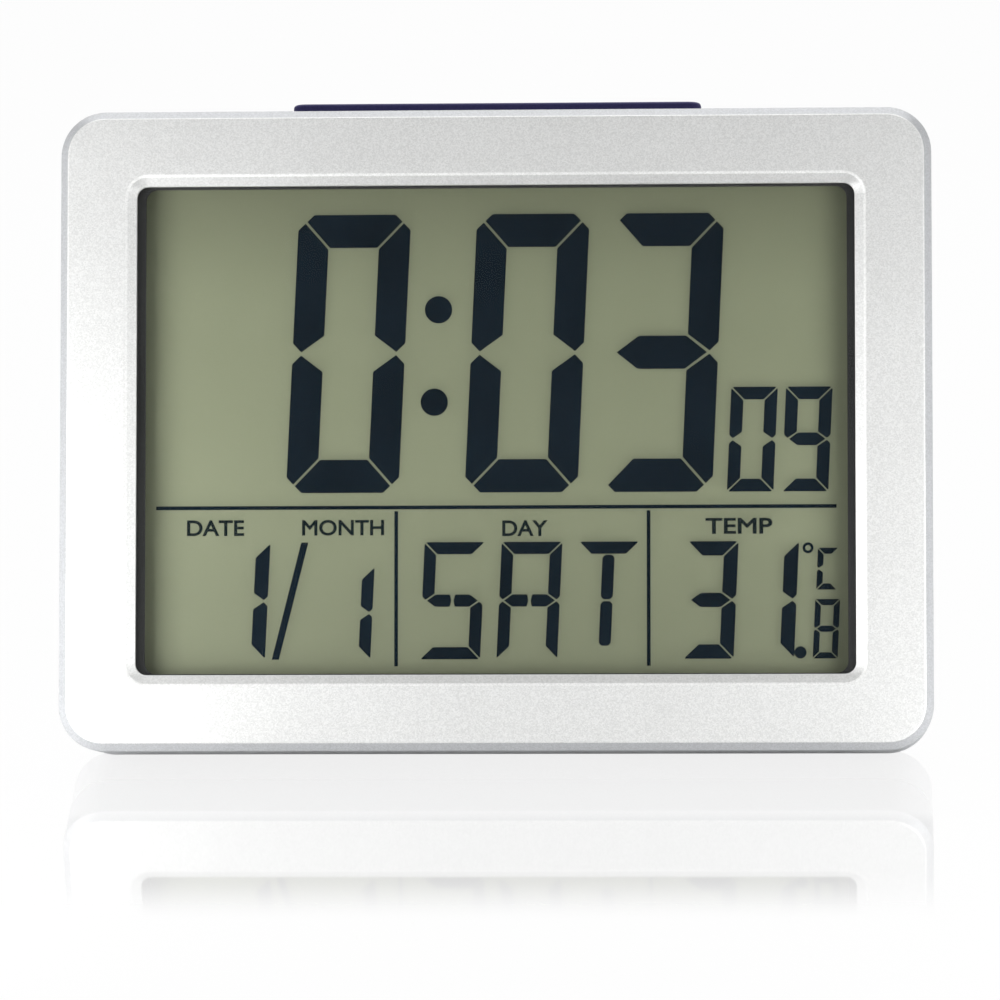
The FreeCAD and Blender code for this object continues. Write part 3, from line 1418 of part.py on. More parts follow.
def make_board_screws():
    """Screws of the main board, the key board and the snooze board."""
    body = new_body("board_screws")
    prism(body, "BoardShanks", board_circles("small_screw_radius"),
          BOARD_BACK + " - small_screw_length", "small_screw_length")
    prism(body, "BoardHeads", board_circles("small_head_radius"), BOARD_BACK,
          "small_head_height")
    posts = [("-key_block", "key_row %s key_post" % sign) for sign in "-+"]
    prism(body, "KeyBoardShanks", [circle(x, y, "small_screw_radius") for x, y in posts],
          "key_board_depth", "small_screw_length")
    prism(body, "KeyBoardHeads", [circle(x, y, "small_head_radius") for x, y in posts],
          "key_board_depth - small_head_height", "small_head_height")
    ends = [side + "(snooze_board_width / 2 - 3)" for side in SIDES]
    prism(body, "SnoozeShanks", [circle(x, "-" + BAR_MIDDLE, "small_screw_radius") for x in ends],
          SNOOZE_BOARD_TOP + " - board_thickness - shelf_thickness",
          "board_thickness + shelf_thickness", plane="top")
    prism(body, "SnoozeHeads", [circle(x, "-" + BAR_MIDDLE, "small_head_radius") for x in ends],
          SNOOZE_BOARD_TOP, "small_head_height", plane="top")
    return body


# Build, check and write every piece

def build_all():
    make_front_case()
    make_rear_case()
    make_lens()
    make_lcd_holder()
    make_glass("lcd_front_glass", GLASS_FOOT, GLASS_FRONT)
    make_lcd_segments()
    rear_foot = "(%s + contact_ledge)" % GLASS_FOOT
    make_glass("lcd_rear_glass", rear_foot, REAR_GLASS_FRONT)
    make_glass("lcd_reflector", rear_foot, REFLECTOR_FRONT)
    make_light_guide()
    make_backlight_leds()
    make_zebra_strip()
    make_main_board()
    make_chip_blob()
    make_quartz_crystal()
    make_thermistor()
    make_key_board()
    make_key_switches()
    make_alarm_switch()
    make_snooze_board()
    make_snooze_switch()
    make_buzzer()
    make_snooze_bar()
    for name in KEY_NAMES:
        make_key(name)
    make_alarm_slider()
    make_battery_cells()
    make_contacts()
    make_battery_door()
    make_stand()
    make_all_leads()
    make_key_leads()
    make_case_screws()
    make_holder_screws()
    make_board_screws()


def check_cuts(body):
    """Every pocket must take something away, and every pad must add something."""
    volume = 0.0
    for feature in body.Group:
        if not feature.isDerivedFrom("PartDesign::Feature"):
            continue
        after = feature.Shape.Volume
        cutting = feature.TypeId in ("PartDesign::Pocket", "PartDesign::SubtractiveLoft")
        adding = feature.TypeId == "PartDesign::Pad"
        if (cutting and after > volume - 1e-6) or (adding and after < volume + 1e-6):
            raise RuntimeError("%s in %s changes nothing" % (feature.Label, body.Label))
        volume = after


def pieces():
    return [item for item in doc.Objects
            if item.TypeId in ("PartDesign::Body", "Part::Feature")]


def check_all():
    for item in doc.Objects:
        if "Invalid" in item.State or "Error" in item.State:
            raise RuntimeError("%s failed: %s" % (item.Label, item.State))
    for piece in pieces():
        if piece.Shape.isNull() or not piece.Shape.isValid():
            raise RuntimeError("%s has no valid shape" % piece.Label)
        if piece.TypeId == "PartDesign::Body":
            check_cuts(piece)


build_all()
doc.recompute()
check_all()
os.makedirs("parts", exist_ok=True)
for piece in pieces():
    piece.Shape.exportStep("parts/%s.step" % piece.Label)
    box = piece.Shape.BoundBox
    print("%-24s %2d solids  x %7.2f %7.2f  y %7.2f %7.2f  z %7.2f %7.2f" % (
        piece.Label, len(piece.Shape.Solids), box.XMin, box.XMax, box.YMin, box.YMax,
        box.ZMin, box.ZMax))
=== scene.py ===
# %% [markdown]
# # A day clock, dressed for the studio
#
# The solids come from CAD and stay as they are. This script gives them their materials,
# makes the two glasses of the display anew, prints the four words on it, and sets up the
# floor, the lamps and the camera of the reference view.

# %% Load the solids and keep the box they fill
import math

import bmesh
import bpy
from mathutils import Matrix, Vector


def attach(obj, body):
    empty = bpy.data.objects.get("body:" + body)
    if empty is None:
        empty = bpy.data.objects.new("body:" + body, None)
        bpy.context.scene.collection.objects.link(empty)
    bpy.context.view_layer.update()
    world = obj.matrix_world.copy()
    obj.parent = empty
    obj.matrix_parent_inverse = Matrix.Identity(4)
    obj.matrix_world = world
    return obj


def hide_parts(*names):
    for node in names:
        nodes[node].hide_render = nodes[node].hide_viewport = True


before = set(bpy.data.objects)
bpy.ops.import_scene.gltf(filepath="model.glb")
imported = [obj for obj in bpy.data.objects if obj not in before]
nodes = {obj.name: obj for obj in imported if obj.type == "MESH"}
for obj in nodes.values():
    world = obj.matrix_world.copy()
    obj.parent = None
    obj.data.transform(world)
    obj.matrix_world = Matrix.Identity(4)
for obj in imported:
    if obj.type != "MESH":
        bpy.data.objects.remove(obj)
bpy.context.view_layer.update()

# %% [markdown]
# ## The frame of the face
#
# Places on the clock are written as they would be measured on it: across the face, up from
# the bottom of the case, and back from the front surface, in millimetres. The whole clock
# leans back by sixteen degrees on the land of its lower rear edge, so one matrix leads from
# these measures to the world. Turning each piece by hand would repeat the lean in every place.

# %% From the face to the world
LEAN = math.radians(16.0)
CASE_HEIGHT, CASE_DEPTH, REAR_ROUND, LAND_CUT = 121.4, 26.0, 3.0, 0.2
ARC = CASE_DEPTH - REAR_ROUND
RISE = REAR_ROUND + ARC * math.sin(LEAN) - REAR_ROUND * math.cos(LEAN) - LAND_CUT
LAND = ARC * math.cos(LEAN) + REAR_ROUND * math.sin(LEAN)
MM = 0.001


def face_matrix():
    """Turns (across, up, back) in millimetres into metres in the row's frame."""
    sine, cosine = math.sin(LEAN), math.cos(LEAN)
    turn = Matrix(((1, 0, 0, 0), (0, sine, cosine, -LAND), (0, cosine, -sine, RISE),
                   (0, 0, 0, 1)))
    return Matrix.Scale(MM, 4) @ turn


FACE = face_matrix()
print("top of the face:", [round(v, 4) for v in FACE @ Vector((0, CASE_HEIGHT, 0))])

# %% [markdown]
# ## Sums and steps in a node tree
#
# Masks are made of a few sums and soft steps. Each of them is one node and its links, which
# two helpers write, so that a mask reads like the formula that it is.

# %% Helpers for masks
def combine(tree, operation, first, second=0):
    """Two values, or a value and a number, put together."""
    joint = tree.nodes.new("ShaderNodeMath")
    joint.operation = operation
    for socket, item in zip(joint.inputs, (first, second)):
        if isinstance(item, (int, float)):
            socket.default_value = item
        else:
            tree.links.new(item, socket)
    return joint.outputs["Value"]


def ease(tree, value, low, high):
    """0 at low and 1 at high, with a soft start and stop."""
    step = tree.nodes.new("ShaderNodeMapRange")
    step.interpolation_type = "SMOOTHSTEP"
    step.inputs["From Min"].default_value = low
    step.inputs["From Max"].default_value = high
    tree.links.new(value, step.inputs["Value"])
    return step.outputs["Result"]


# %% [markdown]
# ## Grain
#
# Moulded plastic, paint and plated metal all have a fine grain from their tool or their
# spraying, and a wide unevenness that is only seen in a glancing light. Image textures could
# show both, but they blur from near by and have to be wrapped round each solid. A Voronoi
# texture gives specks and a noise texture gives the mottle, both from object coordinates.
# One node group holds the pair, and every material sets its two scales.

# %% Grain group
MOTTLE_DETAIL = 3.0


def grain_group():
    """Node group: fine specks and a wider mottle, both from 0 to 1."""
    group = bpy.data.node_groups.new("Grain", "ShaderNodeTree")
    for name, kind in (("Vector", "NodeSocketVector"), ("Fine", "NodeSocketFloat"),
                       ("Wide", "NodeSocketFloat")):
        group.interface.new_socket(name, in_out="INPUT", socket_type=kind)
    for name in ("Specks", "Mottle"):
        group.interface.new_socket(name, in_out="OUTPUT", socket_type="NodeSocketFloat")
    source = group.nodes.new("NodeGroupInput")
    sink = group.nodes.new("NodeGroupOutput")
    cells = group.nodes.new("ShaderNodeTexVoronoi")
    cells.feature = "F1"
    cloud = group.nodes.new("ShaderNodeTexNoise")
    cloud.inputs["Detail"].default_value = MOTTLE_DETAIL
    parts = group.nodes.new("ShaderNodeSeparateColor")
    group.links.new(source.outputs["Vector"], cells.inputs["Vector"])
    group.links.new(source.outputs["Vector"], cloud.inputs["Vector"])
    group.links.new(source.outputs["Fine"], cells.inputs["Scale"])
    group.links.new(source.outputs["Wide"], cloud.inputs["Scale"])
    group.links.new(cells.outputs["Color"], parts.inputs["Color"])
    group.links.new(parts.outputs["Red"], sink.inputs["Specks"])
    group.links.new(cloud.outputs["Fac"], sink.inputs["Mottle"])
    return group


GRAIN = grain_group()
print("grain group:", len(GRAIN.nodes), "nodes")

# %% [markdown]
# ## One kind of surface
#
# Every material on the clock is a Principled shader. Specks and mottle together choose a
# colour between a dark and a light tone, the mottle alone varies the roughness, and the
# specks alone give the bump. The solids' objects sit at the origin, so object coordinates
# are metres on the real thing, and a texture's scale is one over its grain size.

# %% A grained surface
def surface(name, dark, light, rough=(0.4, 0.5), grain=0.0004, cloud=0.02, bump=0.1,
            metallic=0.0, stretch=(1, 1, 1), mix=(0.5, 0.5), **settings):
    """A grained material; mix has the shares of specks and mottle in its colour."""
    material = bpy.data.materials.new(name)
    material.use_nodes = True
    tree = material.node_tree
    shader = tree.nodes["Principled BSDF"]
    shader.inputs["Metallic"].default_value = metallic
    for key, value in settings.items():
        shader.inputs[key.replace("_", " ")].default_value = value
    place = tree.nodes.new("ShaderNodeTexCoord")
    scale = tree.nodes.new("ShaderNodeMapping")
    scale.inputs["Scale"].default_value = stretch
    pattern = tree.nodes.new("ShaderNodeGroup")
    pattern.node_tree = GRAIN
    pattern.inputs["Fine"].default_value = 1 / grain
    pattern.inputs["Wide"].default_value = 1 / cloud
    specks, mottle = pattern.outputs["Specks"], pattern.outputs["Mottle"]
    blend = combine(tree, "ADD", combine(tree, "MULTIPLY", specks, mix[0]),
                    combine(tree, "MULTIPLY", mottle, mix[1]))
    ramp = tree.nodes.new("ShaderNodeValToRGB")
    ramp.color_ramp.elements[0].color = (*dark, 1)
    ramp.color_ramp.elements[1].color = (*light, 1)
    roughen = tree.nodes.new("ShaderNodeMapRange")
    roughen.inputs["To Min"].default_value, roughen.inputs["To Max"].default_value = rough
    relief = tree.nodes.new("ShaderNodeBump")
    relief.inputs["Strength"].default_value = bump
    relief.inputs["Distance"].default_value = grain
    link = tree.links.new
    link(place.outputs["Object"], scale.inputs["Vector"])
    link(scale.outputs["Vector"], pattern.inputs["Vector"])
    link(blend, ramp.inputs["Fac"])
    link(ramp.outputs["Color"], shader.inputs["Base Color"])
    link(mottle, roughen.inputs["Value"])
    link(roughen.outputs["Result"], shader.inputs["Roughness"])
    link(specks, relief.inputs["Height"])
    link(relief.outputs["Normal"], shader.inputs["Normal"])
    return material


def dress(material, *names):
    """Gives a material to the named solids."""
    for name in names:
        mesh = nodes[name].data
        mesh.materials.clear()
        mesh.materials.append(material)


# %% [markdown]
# ## Shading by place
#
# Some colours are painted shade or a painted highlight that changes with the place on the
# clock: on the rim, round the window, and on the display towards its top and its foot. A
# second node group turns object coordinates back into millimetres on the face, by three dot
# products with the rows of the inverse matrix. A mask that is made of them then multiplies
# the colour of a material.

# %% Place on the face
def face_place_group():
    """Node group: object coordinates in, millimetres across, up and back on the face out."""
    group = bpy.data.node_groups.new("Place on the face", "ShaderNodeTree")
    group.interface.new_socket("Vector", in_out="INPUT", socket_type="NodeSocketVector")
    names = ("Across", "Up", "Back")
    for name in names:
        group.interface.new_socket(name, in_out="OUTPUT", socket_type="NodeSocketFloat")
    source = group.nodes.new("NodeGroupInput")
    sink = group.nodes.new("NodeGroupOutput")
    for name, row in zip(names, FACE.inverted()):
        along = group.nodes.new("ShaderNodeVectorMath")
        along.operation = "DOT_PRODUCT"
        along.inputs[1].default_value = row[:3]
        group.links.new(source.outputs["Vector"], along.inputs[0])
        group.links.new(combine(group, "ADD", along.outputs["Value"], row[3]),
                        sink.inputs[name])
    return group


FACE_PLACE = face_place_group()


def place_on_face(material):
    """The three measures on the face, as sockets in a material's own tree."""
    tree = material.node_tree
    source = tree.nodes.new("ShaderNodeTexCoord")
    place = tree.nodes.new("ShaderNodeGroup")
    place.node_tree = FACE_PLACE
    tree.links.new(source.outputs["Object"], place.inputs["Vector"])
    return place.outputs["Across"], place.outputs["Up"], place.outputs["Back"]


def shade_by(material, mask, share):
    """Multiplies a material's colour by a share of itself where the mask is 1."""
    tree = material.node_tree
    colour = tree.nodes["Principled BSDF"].inputs["Base Color"]
    before = colour.links[0].from_socket
    shade = tree.nodes.new("ShaderNodeMix")
    shade.data_type = "RGBA"
    shade.blend_type = "MULTIPLY"
    sockets = {socket.identifier: socket for socket in (*shade.inputs, *shade.outputs)}
    sockets["B_Color"].default_value = (*share, 1)
    tree.links.new(mask, sockets["Factor_Float"])
    tree.links.new(before, sockets["A_Color"])
    tree.links.new(sockets["Result_Color"], colour)


print("place group:", len(FACE_PLACE.nodes), "nodes")

# %% [markdown]
# ## Silver paint
#
# The front shell is sprayed with silver lacquer: fine bright flakes in a grey ground, half
# metal and half plastic in the way it shines. In the photograph the rim and the slopes above
# and below the display are darker than the face, and the face ends in a thin bright line.
# Here they are painted into the colour: painted shade on the rim and the slopes, and a
# painted highlight on the line.
# Separate materials on picked faces would give hard borders, and the mesh would have to be
# cut; masks from the place on the face need neither.

# %% Front shell
# Painted shade on the rim and on the slopes above and below the window, and a painted highlight
# on the thin line where the face ends.
EDGE_SHADE, EDGE_HIGHLIGHT, BEVEL_SHADE = (0.74, 0.75, 0.78), (1.15, 1.15, 1.15), (0.82, 0.82, 0.82)
FACE_MIDDLE, WINDOW_UP, WINDOW_ACROSS = 60.7, 52.0, 75.0
LINE_STARTS, LINE_ENDS, LEVEL_BEGINS = (0.004, 0.02), (0.16, 0.26), (45.9, 46.6)

silver_paint = surface("silver_paint", (0.58, 0.583, 0.575), (0.78, 0.783, 0.775),
                       rough=(0.38, 0.44), grain=0.00022, cloud=0.03, bump=0.10,
                       metallic=0.35, mix=(0.7, 0.3))


def paint_edge_shade_and_highlight(material):
    """Painted highlight where the face ends, painted shade past it and round the window."""
    tree = material.node_tree
    across, up, back = place_on_face(material)
    rise = combine(tree, "ABSOLUTE", combine(tree, "SUBTRACT", up, FACE_MIDDLE))
    above = combine(tree, "GREATER_THAN", rise, WINDOW_UP)
    beside = combine(tree, "GREATER_THAN", combine(tree, "ABSOLUTE", across), WINDOW_ACROSS)
    outside = combine(tree, "MAXIMUM", above, beside)
    past = ease(tree, back, *LINE_ENDS)
    line = combine(tree, "SUBTRACT", ease(tree, back, *LINE_STARTS), past)
    bevel = combine(tree, "MULTIPLY", combine(tree, "SUBTRACT", 1.0, outside), past)
    level = combine(tree, "MULTIPLY", bevel, ease(tree, rise, *LEVEL_BEGINS))
    # Painted shade on the rim, a painted highlight on the thin line, painted shade on the slopes
    # above and below the window.
    shade_by(material, combine(tree, "MULTIPLY", past, outside), EDGE_SHADE)
    shade_by(material, line, EDGE_HIGHLIGHT)
    shade_by(material, level, BEVEL_SHADE)


paint_edge_shade_and_highlight(silver_paint)
dress(silver_paint, "front_case")
print("silver paint:", len(silver_paint.node_tree.nodes), "nodes")

# %% [markdown]
# ## Coloured mouldings
#
# The rear shell, the flap and the door are moulded in grey and left as they come from the
# spark-eroded tool, so their grain is coarser and deeper than the paint's. The snooze bar is
# navy and nearly matt. The keys are a darker grey, and the frame that makes the dark border
# round the display is black, like the small switches and the blob over the chip.

# %% Mouldings
KEYS = ("mode_key", "set_key", "up_key", "down_key", "alarm_key", "unit_key")

dress(surface("grey_moulding", (0.52, 0.525, 0.54), (0.66, 0.665, 0.68), rough=(0.45, 0.6),
              grain=0.0005, bump=0.35), "rear_case", "battery_door", "stand")
dress(surface("navy_moulding", (0.060, 0.054, 0.180), (0.086, 0.080, 0.235),
              rough=(0.4, 0.55), grain=0.0003, bump=0.08, Specular_IOR_Level=0.15),
      "snooze_bar")
dress(surface("key_moulding", (0.20, 0.205, 0.22), (0.26, 0.265, 0.28), rough=(0.4, 0.55),
              grain=0.0003, bump=0.2), *KEYS)
dress(surface("black_moulding", (0.010, 0.011, 0.011), (0.022, 0.023, 0.023),
              rough=(0.5, 0.65), grain=0.0003, bump=0.2), "lcd_holder", "alarm_slider",
      "chip_blob", "key_switches", "snooze_switch", "alarm_switch")

# %% [markdown]
# ## Panes
#
# Clear plastic and glass only show by what they mirror. Real refraction would leave the
# display in the dark, because a lamp is not found through a bending surface, so each pane is
# a faint mirror whose opacity is the Fresnel reflection, and light passes it unbent. The back
# of a face mirrors nothing: unbent rays would meet it too steeply and be thrown back. The
# indices are lower than those of plain glass, as with the coatings of a display window.

# %% Clear panes
LENS_INDEX, COATED_INDEX = 1.17, 1.06


def pane(name, dark, light, index):
    """A clear pane: a mirror as strong as the Fresnel reflection of its index."""
    material = surface(name, dark, light, rough=(0.03, 0.07), grain=0.002, bump=0.0,
                       metallic=1.0)
    tree = material.node_tree
    fresnel = tree.nodes.new("ShaderNodeFresnel")
    fresnel.inputs["IOR"].default_value = index
    facing = tree.nodes.new("ShaderNodeNewGeometry")
    outer = combine(tree, "SUBTRACT", 1.0, facing.outputs["Backfacing"])
    strength = combine(tree, "MULTIPLY", outer, fresnel.outputs["Fac"])
    tree.links.new(strength, tree.nodes["Principled BSDF"].inputs["Alpha"])
    return material


dress(pane("clear_lens", (0.90, 0.92, 0.92), (0.97, 0.98, 0.98), LENS_INDEX), "lens")
display_glass = pane("display_glass", (0.70, 0.75, 0.66), (0.80, 0.84, 0.76), COATED_INDEX)

# %% [markdown]
# ## The display's two glasses
#
# The glasses of the display touch the crystal layer and the reflector face to face. A
# renderer can't tell which of two faces in one place comes first, so each glass is made anew
# a hair smaller than its solid, with the ground edges that cut glass has. A cube that is
# scaled to the solid's own box and bevelled by a tenth of a millimetre is all that it takes.

# %% Glass plates
GLASS_SKIN, GROUND_EDGE = 0.02, 0.12


def face_box(node):
    """Lowest and highest corner of a solid, measured in the frame of the face."""
    back = FACE.inverted()
    places = [back @ v.co for v in nodes[node].data.vertices]
    return ([min(p[i] for p in places) for i in range(3)],
            [max(p[i] for p in places) for i in range(3)])


def glass_plate(name, node):
    """Replaces one glass by a plate a hair smaller, with ground edges."""
    low, high = face_box(node)
    size = [b - a - 2 * GLASS_SKIN for a, b in zip(low, high)]
    middle = [(a + b) / 2 for a, b in zip(low, high)]
    form = bmesh.new()
    bmesh.ops.create_cube(form, size=1.0)
    bmesh.ops.scale(form, vec=size, verts=form.verts)
    bmesh.ops.bevel(form, geom=form.edges[:], offset=GROUND_EDGE, affect="EDGES", segments=1,
                    profile=0.5, material=-1)
    bmesh.ops.translate(form, vec=middle, verts=form.verts)
    bmesh.ops.transform(form, matrix=FACE, verts=form.verts)
    bmesh.ops.recalc_face_normals(form, faces=form.faces)
    mesh = bpy.data.meshes.new(name)
    form.to_mesh(mesh)
    form.free()
    mesh.materials.append(display_glass)
    plate = bpy.data.objects.new(name, mesh)
    bpy.context.collection.objects.link(plate)
    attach(plate, "case")
    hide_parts(node)
    print(name, [round(v, 2) for v in size], "mm")


glass_plate("front_glass_plate", "lcd_front_glass")
glass_plate("rear_glass_plate", "lcd_rear_glass")

# %% [markdown]
# ## Marks and reflector
#
# What reads as digits is liquid crystal between the glasses that holds back the light. The
# marks are nearly black with a touch of blue that drifts from one to the next, and have no
# shine of their own, since they lie under glass. They cast no shadow on the film behind
# them, because the photograph shows none. The film is a matt grey-green with painted shade
# towards the top and a little towards the foot, as it is in the photograph.

# %% Display
# Painted shade on the film: darker towards its top, and a little towards its foot.
TOP_SHADE_START, TOP_SHADE_END, TOP_PAINTED_SHADE = 84.0, 108.0, (0.74, 0.74, 0.72)
FOOT_START, FOOT_END, FOOT_PAINTED_SHADE = 52.0, 24.0, (0.86, 0.86, 0.86)

dress(surface("crystal_marks", (0.001, 0.003, 0.005), (0.008, 0.016, 0.025),
              rough=(0.5, 0.6), grain=0.0004, cloud=0.025, bump=0.0, mix=(0.15, 1.0),
              Specular_IOR_Level=0.0), "lcd_segments")
nodes["lcd_segments"].visible_shadow = False
reflector_film = surface("reflector_film", (0.185, 0.205, 0.120), (0.235, 0.258, 0.162),
                         rough=(0.55, 0.7), grain=0.00018, cloud=0.012, bump=0.05,
                         mix=(0.55, 0.45))
film_up = place_on_face(reflector_film)[1]
# Painted shade towards the top of the film and towards its foot.
for start, end, share in ((TOP_SHADE_START, TOP_SHADE_END, TOP_PAINTED_SHADE),
                          (FOOT_START, FOOT_END, FOOT_PAINTED_SHADE)):
    shade_by(reflector_film, ease(reflector_film.node_tree, film_up, start, end), share)
dress(reflector_film, "lcd_reflector")

# %% [markdown]
# ## Behind the display
#
# The light guide is frosted acrylic, and the two small lamps below it are potted in a
# yellowish phosphor. The connector is a strip of rubber in which black conducting layers
# take turns with white ones: its grain is stretched along two axes, so that the specks
# become stripes.

# %% Light guide, lamps and connector
dress(surface("guide_acrylic", (0.80, 0.83, 0.80), (0.88, 0.9, 0.88), rough=(0.2, 0.3),
              grain=0.001, bump=0.02), "light_guide")
dress(surface("led_white", (0.75, 0.74, 0.62), (0.85, 0.84, 0.74), rough=(0.3, 0.4),
              grain=0.0005, bump=0.05), "backlight_leds")
dress(surface("zebra_rubber", (0.05, 0.05, 0.055), (0.75, 0.75, 0.76), rough=(0.6, 0.7),
              grain=0.0004, stretch=(1, 0.05, 0.05), bump=0.1), "zebra_strip")

# %% [markdown]
# ## Boards and metal
#
# The boards have a green lacquer that is darker where the copper shows through it. The
# crystal's can, the contacts, the buzzer's disc and the screws are bare metal: Metallic is 1,
# the colour is the metal's own, and a stretched grain shows which way a strip was rolled.

# %% Boards, plated parts and screws
dress(surface("solder_mask", (0.012, 0.09, 0.035), (0.02, 0.16, 0.06), rough=(0.25, 0.4),
              grain=0.0012, cloud=0.006, bump=0.1), "main_board", "key_board",
      "snooze_board")
dress(surface("tinned_can", (0.62, 0.62, 0.60), (0.76, 0.76, 0.74), rough=(0.2, 0.35),
              grain=0.0006, metallic=1.0), "quartz_crystal")
dress(surface("dipped_bead", (0.02, 0.02, 0.022), (0.04, 0.04, 0.045), rough=(0.15, 0.3),
              grain=0.0005), "thermistor")
dress(surface("rolled_brass", (0.60, 0.45, 0.16), (0.72, 0.56, 0.24), rough=(0.25, 0.4),
              grain=0.0004, metallic=1.0, stretch=(1, 6, 1)), "buzzer")
dress(surface("nickel_plate", (0.58, 0.57, 0.54), (0.74, 0.73, 0.70), rough=(0.22, 0.4),
              grain=0.0004, metallic=1.0, stretch=(1, 1, 5)), "battery_contact_plus",
      "battery_contact_minus", "battery_bridge")
dress(surface("zinc_plate", (0.42, 0.42, 0.43), (0.62, 0.62, 0.63), rough=(0.3, 0.45),
              grain=0.0003, metallic=1.0), "case_screws", "holder_screws", "board_screws")

# %% [markdown]
# ## Cells and leads
#
# The cells wear a plain dark sleeve without any print. The leads are covered in soft vinyl
# in the usual colours: red and black for the cells, black for the buzzer, grey for the rest.

# %% Cell jackets and leads
dress(surface("cell_jacket", (0.05, 0.07, 0.12), (0.08, 0.11, 0.17), rough=(0.2, 0.32),
              grain=0.0008), "battery_cells")
dress(surface("red_jacket", (0.42, 0.012, 0.012), (0.55, 0.03, 0.03), rough=(0.3, 0.4),
              grain=0.0004), "battery_lead_red")
dress(surface("black_jacket", (0.015, 0.015, 0.016), (0.03, 0.03, 0.032), rough=(0.3, 0.4),
              grain=0.0004), "battery_lead_black", "buzzer_leads")
dress(surface("grey_jacket", (0.28, 0.28, 0.29), (0.38, 0.38, 0.39), rough=(0.35, 0.45),
              grain=0.0004), "snooze_leads", "key_leads")
bare = [name for name, node in nodes.items() if not node.data.materials[:]]
print("materials:", len(bpy.data.materials), "solids without one:", bare)

# %% [markdown]
# ## Words on the display
#
# The four field names are printed on the glass over the reflector. They could be cut into
# the solids, but ink has no thickness worth building. Each word is set in the built-in face,
# swollen a little to make it bolder, and fitted to the box that was measured for it.

# %% Field names
WORDS = {
    "DATE": (-58.7, -47.8, 40.9, 43.9),
    "MONTH": (-36.8, -21.2, 40.9, 43.9),
    "DAY": (1.2, 9.8, 40.7, 43.7),
    "TEMP": (39.65, 52.3, 41.0, 44.0),
}
PRINT_BACK, PRINT_FILM, PRINT_SWELL = 5.65, 0.6, 0.021
CURVE_STEPS, EDGE_STEPS = 6, 1

print_ink = surface("printed_words", (0.006, 0.011, 0.013), (0.012, 0.019, 0.021),
                    rough=(0.5, 0.6), grain=0.0003, bump=0.0, Specular_IOR_Level=0.0)


def word_mesh(text):
    """The mesh of a word as the text object gives it, about one unit tall."""
    curve = bpy.data.curves.new("word_" + text.lower(), "FONT")
    curve.body = text
    curve.bevel_depth = PRINT_SWELL
    curve.bevel_resolution = EDGE_STEPS
    curve.resolution_u = CURVE_STEPS
    temporary = bpy.data.objects.new("word", curve)
    bpy.context.collection.objects.link(temporary)
    depsgraph = bpy.context.evaluated_depsgraph_get()
    mesh = bpy.data.meshes.new_from_object(temporary.evaluated_get(depsgraph))
    bpy.data.objects.remove(temporary)
    return mesh


def printed_word(text, left, right, low, high):
    """A word fitted to its box on the face, in ink that casts no shadow on the film."""
    mesh = word_mesh(text)
    xs = [v.co.x for v in mesh.vertices]
    ys = [v.co.y for v in mesh.vertices]
    across = (right - left) / (max(xs) - min(xs))
    upward = (high - low) / (max(ys) - min(ys))
    for v in mesh.vertices:
        v.co = FACE @ Vector((left + (v.co.x - min(xs)) * across,
                              low + (v.co.y - min(ys)) * upward,
                              PRINT_BACK - v.co.z * PRINT_FILM))
    mesh.materials.clear()
    mesh.materials.append(print_ink)
    word = bpy.data.objects.new("word_" + text.lower(), mesh)
    word.visible_shadow = False
    bpy.context.collection.objects.link(word)
    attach(word, "case")
    return word


words = [printed_word(text, *box) for text, box in WORDS.items()]
print("words:", [(word.name, len(word.data.polygons)) for word in words])

# %% [markdown]
# ## Camera
#
# The camera was fitted to the edges of the case and of the window. It stands 1.15 m off,
# a little to the right, and looks down so that it meets the leaning face almost square on.
# Its turn is put together from four plain turns: round to the subject, down, level, upright.

# %% Camera
DISTANCE, HEIGHT = 1.150, 0.29278
AROUND, PAN, TILT, ROLL = (math.radians(v) for v in (3.107, -0.027, -11.946, 0.851))
FOCAL_PIXELS, PICTURE_PIXELS, SENSOR, FARTHEST = 6184.7, 1000, 36.0, 20


def photo_camera():
    """The camera that the photograph was taken from."""
    data = bpy.data.cameras.new("camera")
    data.sensor_width = SENSOR
    data.lens = FOCAL_PIXELS * SENSOR / PICTURE_PIXELS
    data.clip_end = FARTHEST
    camera = bpy.data.objects.new("camera", data)
    bpy.context.collection.objects.link(camera)
    turn = (Matrix.Rotation(AROUND + PAN, 4, "Z") @ Matrix.Rotation(TILT, 4, "X")
            @ Matrix.Rotation(ROLL, 4, "Y") @ Matrix.Rotation(math.pi / 2, 4, "X"))
    place = (DISTANCE * math.sin(AROUND), -DISTANCE * math.cos(AROUND), HEIGHT)
    camera.matrix_world = Matrix.Translation(place) @ turn
    bpy.context.scene.camera = camera
    return camera


print("lens:", round(photo_camera().data.lens, 1), "mm")

# %% [markdown]
# ## Floor
#
# The clock stands on a glossy white sheet that runs into a white background. The camera sees
# the sheet as nearly pure white with a trace of the clock's shade, while all other rays meet
# an ordinary white surface that lights the underside. A faint mirror lies over both: weak
# close to the clock, where only the underside would show in it, stronger where the face does,
# and gone a hand's width in front.

# %% Floor
FLOOR_SIZE, FLOOR_WHITE, FLOOR_LIFT, FLOOR_ROUGH = 3.0, 0.90, 0.97, 0.6
MIRROR_NEAR, MIRROR_FAR, MIRROR_SHARE, MIRROR_ROUGH = -0.082, -0.118, 0.34, 0.04
FOOT_NEAR, FOOT_FAR, FOOT_SHARE = -0.044, -0.054, 0.14


def mirror_share(tree):
    """How much of the floor's look is a mirror, by the distance in front of the clock."""
    place = tree.nodes.new("ShaderNodeTexCoord")
    axes = tree.nodes.new("ShaderNodeSeparateXYZ")
    tree.links.new(place.outputs["Object"], axes.inputs["Vector"])
    near = ease(tree, axes.outputs["Y"], MIRROR_FAR, MIRROR_NEAR)
    foot = ease(tree, axes.outputs["Y"], FOOT_FAR, FOOT_NEAR)
    return combine(tree, "SUBTRACT", combine(tree, "MULTIPLY", near, MIRROR_SHARE),
                   combine(tree, "MULTIPLY", foot, MIRROR_SHARE - FOOT_SHARE))


